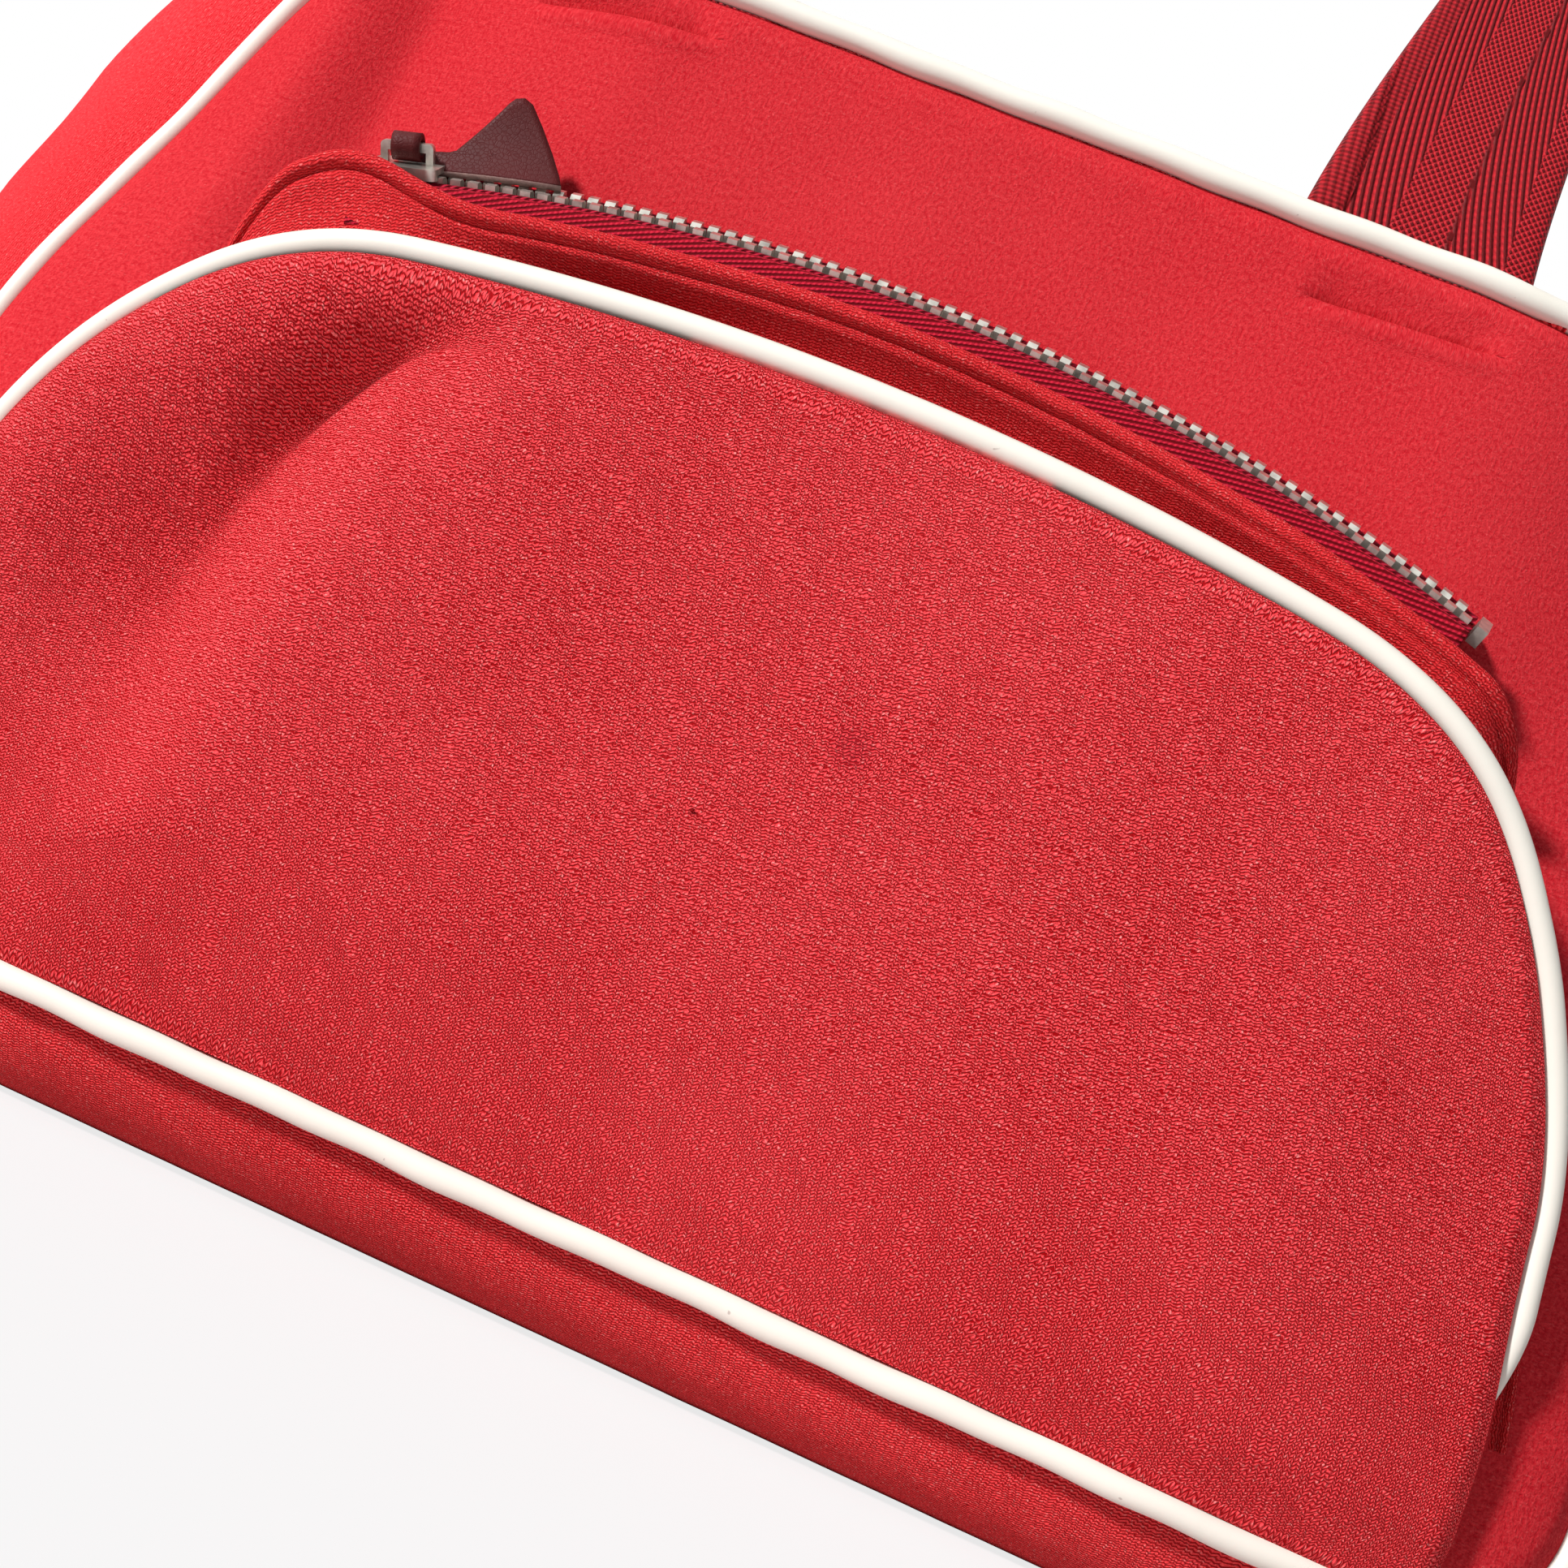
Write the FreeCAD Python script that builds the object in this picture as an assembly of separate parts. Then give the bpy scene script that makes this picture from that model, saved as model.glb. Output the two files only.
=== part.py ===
"""A small knit handbag of the bowling-bag kind, piece by piece, in millimetres.

X runs along the bag's width, the front faces -Y and Z is up. The bag stands on its base, and the
origin is on the ground under the middle of the bag. The pieces are drawn about the middle plane of
the bag's body and moved by SHIFT_Y when they are saved, because the pocket in front and the dropped
handle behind reach out by different amounts.
"""
import FreeCAD, Part
import math
import os

V = FreeCAD.Vector

# Front and back panels
BASE_HALF = 122.0       # half the panel's width at its lower corners
TOP_HALF = 112.0        # half its width at the upper corners
PANEL_HEIGHT = 163.0
BASE_CORNER = 28.0      # radius of the lower corners
TOP_CORNER = 34.0       # radius of the upper corners
HALF_DEPTH = 60.0       # from the middle plane to the panel's outer face
PLAN_WRAP = 56.0        # seen from above, the panel is flat to this far from its widest place
PLAN_RADIUS = 76.0      # and then wraps back on this radius
PLAN_SWEEP = 60.0       # as far as the wrap is drawn, degrees
KNIT = 3.0              # the bonded knit's thickness
SEW_GAP = 0.3           # between layers that are sewn together

# Gusset: base, sides and top, swelling out past the panels' seams
BASE_SWELL = 17.0
SIDE_SWELL = 38.0
TOP_SWELL = 12.0
BASE_FLAT = 34.0        # half the flat width that the bag stands on
SIDE_FLAT = 8.0
TOP_FLAT = 24.0
GUSSET_KNIT = 2.5
SWELL_STEPS = 5         # straight steps in each curved half of its section
BOARD_THICK = 2.0
BOARD_HALF_LENGTH = 88.0
BOARD_CORNER = 11.0

# Piping
PIPE_RADIUS = 1.9
PIPE_OUT = 2.1          # the cord's centre, out from the cut edge of the layer it trims
PIPE_FORWARD = 0.5      # and forward of the panel's outer face

# Half-moon pocket
POCKET_HEIGHT = 106.0
POCKET_ARCH = 400.0     # radius of the long flat arch across its top
POCKET_ARCH_HALF = 9.0  # half the angle of that arch, degrees
POCKET_CORNER = 60.0    # radius of the shoulders
POCKET_FLARE = 4.0      # how far the sides open towards the bottom, degrees
POCKET_WEDGE = 9.0      # lean of the pocket's face away from the panel, degrees
POCKET_KNIT = 2.5
POCKET_PIPE_SEAT = 1.6  # the piping's centre, in front of the pocket's inner face
POCKET_FOOT = 19.0      # height above the bottom seam at which the gusset strip and piping end
STRIP_THICK = 1.8
STRIP_BELOW_CHAIN = 8.6 # from the middle of the chain to the strip's edge
STRIP_FORWARD = 7.5     # and forward, from the one to the middle of the other
STRIP_FOOT_WIDTH = 5.0  # reach of the strip past the face's edge, low on the sides
STRIP_INSET = 1.0       # its inner edge, out from the face's edge
STRIP_DROP_START = 25.0 # round the shoulder it leaves the zip here, degrees from straight up
STRIP_DROP_END = 45.0   # and lies on the panel from here

# Zips, metal teeth on woven tape
TOOTH_PITCH = 2.4
TOOTH_THICK = 1.4
TOOTH_HEIGHT = 2.5
TOOTH_NOSE = 0.6        # from the middle of the chain to a tooth's nose
TOOTH_ROOT = 3.0        # and to its root, where the tape begins
TOOTH_NOSE_HEIGHT = 1.5
TOOTH_NECK = 1.45       # from the middle of the chain to where a tooth has its full height
STOP_LENGTH = 1.6       # metal stop along the chain
TAPE_THICK = 0.7
TAPE_SEAT = 0.3
POCKET_ZIP_RADIUS = 260.0
POCKET_ZIP_OUT = 20.0   # the chain's highest place, above that of the pocket's face
POCKET_ZIP_STAND = 9.5  # and in front of the panel
POCKET_ZIP_TILT = 38.0  # the chain's front row lies lower than its back row by this angle
POCKET_ZIP_LEFT = 17.5  # the chain's two ends, degrees from straight up
POCKET_ZIP_RIGHT = 18.0
POCKET_SLIDER_REST = 16.2
TAPE_STRAIGHT = 4.9     # the tape keeps the chain's tilt this far from its middle
TAPE_FALL = 80.0        # and then falls behind the strip, degrees below level
TAPE_FALL_LENGTH = 7.3
TAPE_RISE = 17.0        # at the back it rises to the panel
TAPE_RISE_LENGTH = 5.1
TOP_ZIP_INSET = 8.5     # from the end of the strips to the end of the mouth's chain
TOP_TAPE_HALF = 16.0    # the mouth's tape reaches this far under each strip
TOP_SLOT_HALF = 8.0     # half the gap between the two strips
TOP_SLIDER_INSET = 6.5  # from the chain's end to the middle of the resting slider

# Zip sliders and leather tabs
SLIDER_HALF_LENGTH = 4.9
SLIDER_HALF_WIDE = 4.7
SLIDER_HALF_NARROW = 4.0
SLIDER_PLATE = 0.8
SLIDER_CLEARANCE = 0.25
SLIDER_FLANGE = 0.8
SLIDER_SLOT = 1.6       # height of the slot that the tape runs in
SLIDER_POST = 0.7       # half the post's length in front of the middle
SLIDER_POST_BACK = 1.5  # and its end, short of the wide end of the plates
SLIDER_CORNER = 1.3
BRIDGE_RISE = 4.4       # the bridge bar's centre above the middle of the chain
BRIDGE_BAR = 1.2
BRIDGE_HALF_LENGTH = 3.6
BRIDGE_LEG = 1.0
TAB_LEFT = 3.0          # reach of the tab's foot to the left of the slider's middle
TAB_RIGHT = 20.5        # and to its right
TAB_TIP = 13.8          # place of the tip along the foot
TAB_HEIGHT = 10.5
TAB_THICK = 1.2
TAB_TIP_HALF = 1.7      # half the width where the rounded tip begins
TAB_TIP_RISE = 1.0
TAB_BOW = 1.0           # how far the right edge bows out
TAB_CUT = 1.5           # height of the blunted ends of the foot
TAB_LOOP_INNER = 1.1
TAB_LOOP_WALL = 0.8
TAB_LOOP_WIDTH = 3.6
TAB_FOOT = 1.0          # the tab's lower edge above the bridge bar
POCKET_TAB_LEAN = 45.0  # the pocket's tab leans back from square to the chain, degrees
TOP_TAB_LIE = 105.0     # the mouth's tab lies this far over, degrees

# Webbing handles
HANDLE_X = 57.5         # middle of each end, from the middle of the bag
HANDLE_RISE = 140.0     # top of the loop above its bend at the seam
HANDLE_ARCH = 50.0      # radius where each leg turns into the grip
STRAP_WIDTH = 34.0
GRIP_WIDTH = 20.0
STRAP_THICK = 2.4
GRIP_THICK = 5.0
STRAP_BACKSET = 0.9     # the strap's end stands this far behind the panel
TAIL_LENGTH = 22.0      # the sewn end, below the top seam
BEND_ABOVE_SEAM = 6.0   # the line that the handle folds about
HANDLE_SPREAD = 7.0     # each leg leans outward this much on its way up to the bend
BACK_LEAN = 45.0        # the back handle has dropped back this far, degrees

# Derived places
PLAN_FLAT = BASE_HALF - PLAN_WRAP
TOP_Z = BASE_SWELL + PANEL_HEIGHT
WEDGE = math.tan(math.radians(POCKET_WEDGE))
STRAP_Y = -(HALF_DEPTH - KNIT - STRAP_BACKSET - STRAP_THICK / 2)
POCKET_ARCH_Z = BASE_SWELL + POCKET_HEIGHT - POCKET_ARCH
POCKET_ZIP_Z = BASE_SWELL + POCKET_HEIGHT + POCKET_ZIP_OUT - POCKET_ZIP_RADIUS
FRONT_REACH = (HALF_DEPTH + (POCKET_HEIGHT + PIPE_OUT) * WEDGE + POCKET_PIPE_SEAT + PIPE_RADIUS)
BACK_REACH = (-STRAP_Y + (HANDLE_RISE + GRIP_WIDTH / 2) * math.sin(math.radians(BACK_LEAN))
              + GRIP_THICK / 2 * math.cos(math.radians(BACK_LEAN)))
SHIFT_Y = (FRONT_REACH - BACK_REACH) / 2


# ---- flat runs of lines and arcs, in the XZ plane ---------------------------------------------

class Run:
    """Straight and round stretches in the XZ plane, walked clockwise as the front is seen."""

    def __init__(self, stretches):
        self.stretches = stretches

    def offset(self, out):
        """The same run, moved out by a distance."""
        moved = []
        for kind, a, b, c in self.stretches:
            if kind == "line":
                n = line_normal(a, b) * out
                moved.append((kind, a + n, b + n, None))
            else:
                centre, radius = a
                moved.append((kind, (centre, radius + out), b, c))
        return Run(moved)

    def lengths(self):
        return [stretch_length(s) for s in self.stretches]

    def at(self, distance):
        """The point and the outward normal at a distance along the run, or a little past its ends."""
        for stretch in self.stretches[:-1]:
            length = stretch_length(stretch)
            if distance <= length:
                return stretch_at(stretch, distance / length)
            distance -= length
        last = self.stretches[-1]
        return stretch_at(last, distance / stretch_length(last))

    def face(self):
        """The flat face inside a closed run."""
        edges = []
        for kind, a, b, c in self.stretches:
            if kind == "line":
                edges.append(Part.LineSegment(a, b).toShape())
            else:
                centre, radius = a
                ends = [polar(centre, radius, angle) for angle in (b, (b + c) / 2, c)]
                edges.append(Part.Arc(*ends).toShape())
        return Part.Face(Part.Wire(edges))


def polar(centre, radius, angle):
    """A point on a circle in the XZ plane; 0 degrees is straight up and angles turn to +X."""
    turn = math.radians(angle)
    return centre + V(math.sin(turn), 0, math.cos(turn)) * radius


def line_normal(a, b):
    along = (b - a).normalize()
    return V(-along.z, 0, along.x)


def stretch_length(stretch):
    kind, a, b, c = stretch
    if kind == "line":
        return (b - a).Length
    return a[1] * math.radians(c - b)


def stretch_at(stretch, share):
    kind, a, b, c = stretch
    if kind == "line":
        return a + (b - a) * share, line_normal(a, b)
    centre, radius = a
    angle = b + (c - b) * share
    return polar(centre, radius, angle), polar(V(0, 0, 0), 1.0, angle)


def line(a, b):
    return ("line", a, b, None)


def arc(centre, radius, start, end):
    return ("arc", (centre, radius), start, end)


# ---- outlines ---------------------------------------------------------------------------------

def corner(at, radius, before, after):
    """Centre of a round corner between two sides, given their outward angles."""
    half = math.radians(after - before) / 2
    return polar(at, -radius / math.cos(half), (before + after) / 2)


SIDE_LEAN = math.degrees(math.atan2(BASE_HALF - TOP_HALF, PANEL_HEIGHT))
SIDE_ANGLE = 90.0 - SIDE_LEAN


def panel_outline():
    """The panel's cut edge: a closed run from the middle of the top, clockwise."""
    upper = corner(V(TOP_HALF, 0, TOP_Z), TOP_CORNER, 0, SIDE_ANGLE)
    lower = corner(V(BASE_HALF, 0, BASE_SWELL), BASE_CORNER, SIDE_ANGLE, 180)
    upper_left = V(-upper.x, 0, upper.z)
    lower_left = V(-lower.x, 0, lower.z)
    top = V(0, 0, TOP_Z)
    return Run([
        line(top, polar(upper, TOP_CORNER, 0)),
        arc(upper, TOP_CORNER, 0, SIDE_ANGLE),
        line(polar(upper, TOP_CORNER, SIDE_ANGLE), polar(lower, BASE_CORNER, SIDE_ANGLE)),
        arc(lower, BASE_CORNER, SIDE_ANGLE, 180),
        line(polar(lower, BASE_CORNER, 180), polar(lower_left, BASE_CORNER, 180)),
        arc(lower_left, BASE_CORNER, 180, 360 - SIDE_ANGLE),
        line(polar(lower_left, BASE_CORNER, 360 - SIDE_ANGLE),
             polar(upper_left, TOP_CORNER, 360 - SIDE_ANGLE)),
        arc(upper_left, TOP_CORNER, 360 - SIDE_ANGLE, 360),
        line(polar(upper_left, TOP_CORNER, 360), top),
    ])


def pocket_outline(foot=0.0):
    """The pocket's edge: an open run from its left foot, over the arch, to its right foot."""
    middle = V(0, 0, POCKET_ARCH_Z)
    shoulder = polar(middle, POCKET_ARCH - POCKET_CORNER, POCKET_ARCH_HALF)
    left = V(-shoulder.x, 0, shoulder.z)
    side = 90.0 - POCKET_FLARE
    end = polar(shoulder, POCKET_CORNER, side)
    drop = end.z - BASE_SWELL - foot
    foot_right = end + V(drop * math.tan(math.radians(POCKET_FLARE)), 0, -drop)
    foot_left = V(-foot_right.x, 0, foot_right.z)
    return Run([
        line(foot_left, polar(left, POCKET_CORNER, -side)),
        arc(left, POCKET_CORNER, -side, -POCKET_ARCH_HALF),
        arc(middle, POCKET_ARCH, -POCKET_ARCH_HALF, POCKET_ARCH_HALF),
        arc(shoulder, POCKET_CORNER, POCKET_ARCH_HALF, side),
        line(end, foot_right),
    ])


def plan_depth(x):
    """Depth of the panel's outer face in front of the middle plane, at a place across it."""
    past = max(0.0, abs(x) - PLAN_FLAT)
    return HALF_DEPTH - PLAN_RADIUS + math.sqrt(PLAN_RADIUS ** 2 - past ** 2)


def pocket_gap(z):
    """Space between the panel and the pocket's face, at a height."""
    return (z - BASE_SWELL) * WEDGE


def plan_curve(out):
    """The panel's plan moved out by a distance: an arc, the flat and an arc, from -X to +X."""
    radius = PLAN_RADIUS + out
    spots = []
    for side in (-1, 1):
        centre = V(side * PLAN_FLAT, PLAN_RADIUS - HALF_DEPTH, 0)
        for turn in (PLAN_SWEEP, PLAN_SWEEP / 2, 0):
            a = math.radians(turn)
            spots.append(centre + V(side * math.sin(a), -math.cos(a), 0) * radius)
    spots[3:] = reversed(spots[3:])
    edges = [Part.Arc(*spots[:3]).toShape(), Part.LineSegment(spots[2], spots[3]).toShape(),
             Part.Arc(*spots[3:]).toShape()]
    return edges, spots[0], spots[5]


def plan_layer(out, thick, climb):
    """A layer that follows the panel's plan, its outer face moved out, drawn up along climb."""
    outer, outer_left, outer_right = plan_curve(out)
    inner, inner_left, inner_right = plan_curve(out - thick)
    ends = [Part.LineSegment(outer_left, inner_left).toShape(),
            Part.LineSegment(outer_right, inner_right).toShape()]
    return Part.Face(Part.Wire(Part.__sortEdges__(outer + inner + ends))).extrude(climb)


# ---- ways of making a piece -------------------------------------------------------------------

def cord(spots, radius, closed=False):
    """A round cord through points, lofted between rings that halve the turn at each of them."""
    rings = []
    for i, spot in enumerate(spots):
        before = spots[i - 1] if i or closed else spot
        after = spots[(i + 1) % len(spots)] if i + 1 < len(spots) or closed else spot
        rings.append(Part.Wire(Part.makeCircle(radius, spot, after - before)))
    return Part.makeLoft(rings, True, True, closed)


def spaced(start, end, count):
    return [start + (end - start) * i / count for i in range(count + 1)]


def marks_along(start, lengths, counts):
    """Distances that divide each of several stretches into its own count of equal steps."""
    marks = [start]
    for length, count in zip(lengths, counts):
        marks += spaced(marks[-1], marks[-1] + length, count)[1:]
    return marks


def loft(sections):
    return Part.makeLoft(sections, True, True)


def polygon(points):
    return Part.makePolygon(points + [points[0]])


def box(low, high):
    size = high - low
    return Part.makeBox(size.x, size.y, size.z, low)


# ---- knit panels and gusset -------------------------------------------------------------------

def front_panel():
    prism = panel_outline().face().extrude(V(0, -HALF_DEPTH - KNIT, 0))
    return prism.common(plan_layer(0, KNIT, V(0, 0, TOP_Z + KNIT)))


def mirrored(shape):
    """The same piece at the back of the bag."""
    return shape.mirror(V(0, 0, 0), V(0, 1, 0))


def swell_profile(depth, swell, flat, inset):
    """Half the gusset's section, seam to middle flat, on a quarter of an ellipse: out and along."""
    spots = []
    for turn in spaced(0.0, math.pi / 2, SWELL_STEPS):
        out = (swell - inset) * math.sin(turn)
        along = flat + (depth - flat - inset) * math.cos(turn)
        spots.append((out, along))
    return spots


def gusset_section(point, normal):
    """The gusset's thickness, cut square to the seam: swelling out and flat along its middle."""
    side = normal.x ** 2
    swell = SIDE_SWELL * side + (TOP_SWELL if normal.z > 0 else BASE_SWELL) * (1 - side)
    flat = SIDE_FLAT * side + (TOP_FLAT if normal.z > 0 else BASE_FLAT) * (1 - side)
    depth = plan_depth(point.x) - KNIT - SEW_GAP
    spots = []
    for inset, way in ((0.0, 1), (GUSSET_KNIT, -1)):
        half = swell_profile(depth, swell, flat, inset)
        rim = [point + normal * out + V(0, -along, 0) for out, along in half]
        rim += [point + normal * out + V(0, along, 0) for out, along in reversed(half)]
        spots += rim[::way]
    return polygon(spots)


def gusset(stretches, counts):
    """A length of the gusset, along some of the stretches of the panel's edge."""
    outline = panel_outline()
    lengths = outline.lengths()
    marks = marks_along(sum(lengths[:stretches.start]), lengths[stretches], counts)
    return loft([gusset_section(*outline.at(mark)) for mark in marks])


def top_strip():
    """One knit strip beside the mouth, in front of it, notched where the handle comes up."""
    half = panel_outline().lengths()[0]
    depth = HALF_DEPTH - KNIT - SEW_GAP
    spots = []
    for inset, way in ((0.0, 1), (GUSSET_KNIT, -1)):
        rim = swell_profile(depth, TOP_SWELL, TOP_FLAT, inset) + [(TOP_SWELL - inset, TOP_SLOT_HALF)]
        spots += [V(-half, -along, TOP_Z + out) for out, along in rim][::way]
    strip = Part.Face(polygon(spots)).extrude(V(2 * half, 0, 0))
    strip = strip.cut(plan_layer(0, KNIT + SEW_GAP, V(0, 0, TOP_Z + TOP_SWELL)))
    for side in (-1, 1):
        middle = side * HANDLE_X
        notch = STRAP_WIDTH / 2 + SEW_GAP
        low = V(middle - notch, -HALF_DEPTH, TOP_Z - KNIT)
        high = V(middle + notch, STRAP_Y + STRAP_THICK / 2 + SEW_GAP, TOP_Z + TOP_SWELL)
        strip = strip.cut(box(low, high))
    return strip


def base_board():
    low = V(-BOARD_HALF_LENGTH, -BASE_FLAT, GUSSET_KNIT + SEW_GAP)
    board = box(low, V(BOARD_HALF_LENGTH, BASE_FLAT, low.z + BOARD_THICK))
    upright = [e for e in board.Edges if abs(e.tangentAt(e.FirstParameter).z) > 0.9]
    return board.makeFillet(BOARD_CORNER, upright)


def main_piping():
    """The cord round the panel's seam."""
    outline = panel_outline().offset(PIPE_OUT)
    marks = marks_along(0.0, outline.lengths(), (3, 8, 3, 9, 14, 9, 3, 8, 3))
    points = [outline.at(mark)[0] for mark in marks[:-1]]
    return cord([V(p.x, -plan_depth(p.x) - PIPE_FORWARD, p.z) for p in points], PIPE_RADIUS, closed=True)


# ---- pocket -----------------------------------------------------------------------------------

def pocket_face():
    """The half-moon face: its outline cut from a layer that leans away from the panel."""
    edge = pocket_outline()
    foot = line(edge.stretches[-1][2], edge.stretches[0][1])
    prism = Run(edge.stretches + [foot]).face().extrude(V(0, -2 * HALF_DEPTH, 0))
    seam = panel_outline().face().extrude(V(0, -2 * HALF_DEPTH, 0))
    climb = V(0, -WEDGE, 1) * PANEL_HEIGHT
    layer = plan_layer(SEW_GAP + POCKET_KNIT, POCKET_KNIT, climb)
    layer.translate(V(0, 0, BASE_SWELL))
    return prism.common(seam).common(layer)


def pocket_piping():
    """The cord round the pocket's face, from foot to foot."""
    run = pocket_outline(POCKET_FOOT).offset(PIPE_OUT)
    marks = marks_along(0.0, run.lengths(), (3, 9, 10, 9, 3))
    spots = []
    for point in [run.at(mark)[0] for mark in marks]:
        depth = plan_depth(point.x) + pocket_gap(point.z) + POCKET_PIPE_SEAT
        spots.append(V(point.x, -depth, point.z))
    return cord(spots, PIPE_RADIUS)


def pocket_strip():
    """The knit strip between the pocket's piping and its zip, sloping to the panel at the sides."""
    run = pocket_outline(POCKET_FOOT)
    half = STRIP_THICK / 2
    sections = []
    for distance in spaced(0, sum(run.lengths()), 48):
        point, normal = run.at(distance)
        turn = abs(math.degrees(math.atan2(normal.x, normal.z)))
        high = smooth((STRIP_DROP_END - turn) / (STRIP_DROP_END - STRIP_DROP_START))
        low_depth = half + 2 * SEW_GAP
        top_depth = POCKET_ZIP_STAND + STRIP_FORWARD
        under_piping = pocket_gap(point.z) + POCKET_PIPE_SEAT - PIPE_RADIUS - half - 2 * SEW_GAP
        inner_depth = max(low_depth, under_piping)
        inner = V(STRIP_INSET, inner_depth, 0)
        reach = chain_reach(point, normal) - STRIP_BELOW_CHAIN
        outer = V(STRIP_FOOT_WIDTH + (reach - STRIP_FOOT_WIDTH) * high,
                  low_depth + (top_depth - low_depth) * high, 0)
        along = (outer - inner).normalize()
        across = V(-along.y, along.x, 0) * half
        corners = []
        for spot in (inner - across, outer - across, outer + across, inner + across):
            base = point + normal * spot.x
            corners.append(V(base.x, -plan_depth(base.x) - spot.y, base.z))
        sections.append(polygon(corners))
    return loft(sections)


def smooth(share):
    share = max(0.0, min(1.0, share))
    return share * share * (3 - 2 * share)


# ---- zips -------------------------------------------------------------------------------------

def zip_run():
    """The pocket chain's line, one arc from its left end to its right."""
    return Run([arc(V(0, 0, POCKET_ZIP_Z), POCKET_ZIP_RADIUS, -POCKET_ZIP_LEFT, POCKET_ZIP_RIGHT)])


def chain_reach(point, normal):
    """Distance from a point of the pocket's edge, along its normal, to the chain's line."""
    away = point - V(0, 0, POCKET_ZIP_Z)
    half = away.dot(normal)
    return math.sqrt(half ** 2 - away.dot(away) + POCKET_ZIP_RADIUS ** 2) - half


def slanted(angle, upward):
    """A direction in the XZ-normal plane: back by cos and out by sin, turned with upward."""
    turn = math.radians(angle)
    return V(0, math.cos(turn), 0) + upward * math.sin(turn)


def pocket_chain_frame(distance):
    """A place on the chain with the directions square to it: up out of the chain, and back."""
    point, normal = zip_run().at(distance)
    at = point + V(0, -HALF_DEPTH - POCKET_ZIP_STAND, 0)
    return at, slanted(POCKET_ZIP_TILT + 90.0, normal), slanted(POCKET_ZIP_TILT, normal)


def pocket_tape(way, bent, length):
    """Woven tape along the chain: level with it at first, and bent to another slope beyond."""
    upward = V(0, 0, 1)
    level = slanted(POCKET_ZIP_TILT, upward) * way
    onward = slanted(bent, upward) * way
    knee = level * TAPE_STRAIGHT
    square = slanted(POCKET_ZIP_TILT + 90.0, upward)
    mitre = (square + slanted(bent + 90.0, upward)).normalize()
    mitre = mitre * (1 / mitre.dot(square))
    spots = [(level * TOOTH_ROOT, square), (knee, mitre),
             (knee + onward * length, slanted(bent + 90.0, upward))]
    half = TAPE_THICK / 2
    rim = [spot + side * half for spot, side in spots] + [spot - side * half for spot, side in spots[::-1]]
    top = V(0, -HALF_DEPTH - POCKET_ZIP_STAND, POCKET_ZIP_Z + POCKET_ZIP_RADIUS)
    face = Part.Face(polygon([top + spot for spot in rim]))
    centre = V(0, 0, POCKET_ZIP_Z)
    face.rotate(centre, V(0, 1, 0), -POCKET_ZIP_LEFT)
    return face.revolve(centre, V(0, 1, 0), POCKET_ZIP_LEFT + POCKET_ZIP_RIGHT)


def tooth(at, up, across):
    """One tooth: wide at the root that grips the tape, narrower at the nose."""
    along = up.cross(across)
    root = TOOTH_HEIGHT / 2
    nose = TOOTH_NOSE_HEIGHT / 2
    shape = [(TOOTH_NOSE, -nose), (TOOTH_NOSE, nose), (TOOTH_NECK, root), (TOOTH_ROOT, root),
             (TOOTH_ROOT, -root), (TOOTH_NECK, -root)]
    start = at - along * (TOOTH_THICK / 2)
    face = Part.Face(polygon([start + across * a + up * b for a, b in shape]))
    return face.extrude(along * TOOTH_THICK)


def pocket_teeth(side):
    """A row of teeth; the second row stands half a pitch further on."""
    length = sum(zip_run().lengths())
    teeth = []
    distance = TOOTH_PITCH * (0.5 if side < 0 else 1.0)
    while distance < length - TOOTH_THICK:
        at, up, back = pocket_chain_frame(distance)
        teeth.append(tooth(at, up, back * side))
        distance += TOOTH_PITCH
    return Part.makeCompound(teeth)


def pocket_stops():
    """Metal stops at the two ends of the chain, across both rows."""
    pieces = []
    for distance, way in ((0.0, -1), (sum(zip_run().lengths()), 1)):
        at, up, back = pocket_chain_frame(distance)
        along = back.cross(up) * way
        pieces.append(bar(at + along * SEW_GAP, up, back, along, TOOTH_ROOT))
    return Part.makeCompound(pieces)


def bar(at, up, across, along, half):
    """A flat-ended metal bar across the chain, as thick as a tooth."""
    rise = TOOTH_HEIGHT / 2
    spots = [(-half, -rise), (half, -rise), (half, rise), (-half, rise)]
    face = Part.Face(polygon([at + across * a + up * b for a, b in spots]))
    return face.extrude(along * STOP_LENGTH)


TOP_CHAIN_Z = TOP_Z + TOP_SWELL - GUSSET_KNIT - TAPE_SEAT - TAPE_THICK / 2
TOP_ZIP_HALF = panel_outline().lengths()[0] - TOP_ZIP_INSET


def top_tape(side):
    half = panel_outline().lengths()[0] - SEW_GAP
    low = V(-half, TOOTH_ROOT, TOP_CHAIN_Z - TAPE_THICK / 2)
    high = V(half, TOP_TAPE_HALF, TOP_CHAIN_Z + TAPE_THICK / 2)
    tape = box(low, high)
    return tape if side > 0 else mirrored(tape)


def top_teeth(side):
    teeth = []
    at = -TOP_ZIP_HALF + TOOTH_PITCH * (0.5 if side < 0 else 1.0)
    while at < TOP_ZIP_HALF - TOOTH_THICK:
        teeth.append(tooth(V(at, 0, TOP_CHAIN_Z), V(0, 0, 1), V(0, side, 0)))
        at += TOOTH_PITCH
    return Part.makeCompound(teeth)


def top_stops():
    pieces = []
    for way in (-1, 1):
        at = V(way * (TOP_ZIP_HALF + SEW_GAP), 0, TOP_CHAIN_Z)
        pieces.append(bar(at, V(0, 0, 1), V(0, 1, 0), V(way, 0, 0), TOOTH_ROOT))
    return Part.makeCompound(pieces)


# Sliders and tabs are drawn lying along X on a chain at the origin, and then put in place.

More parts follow.
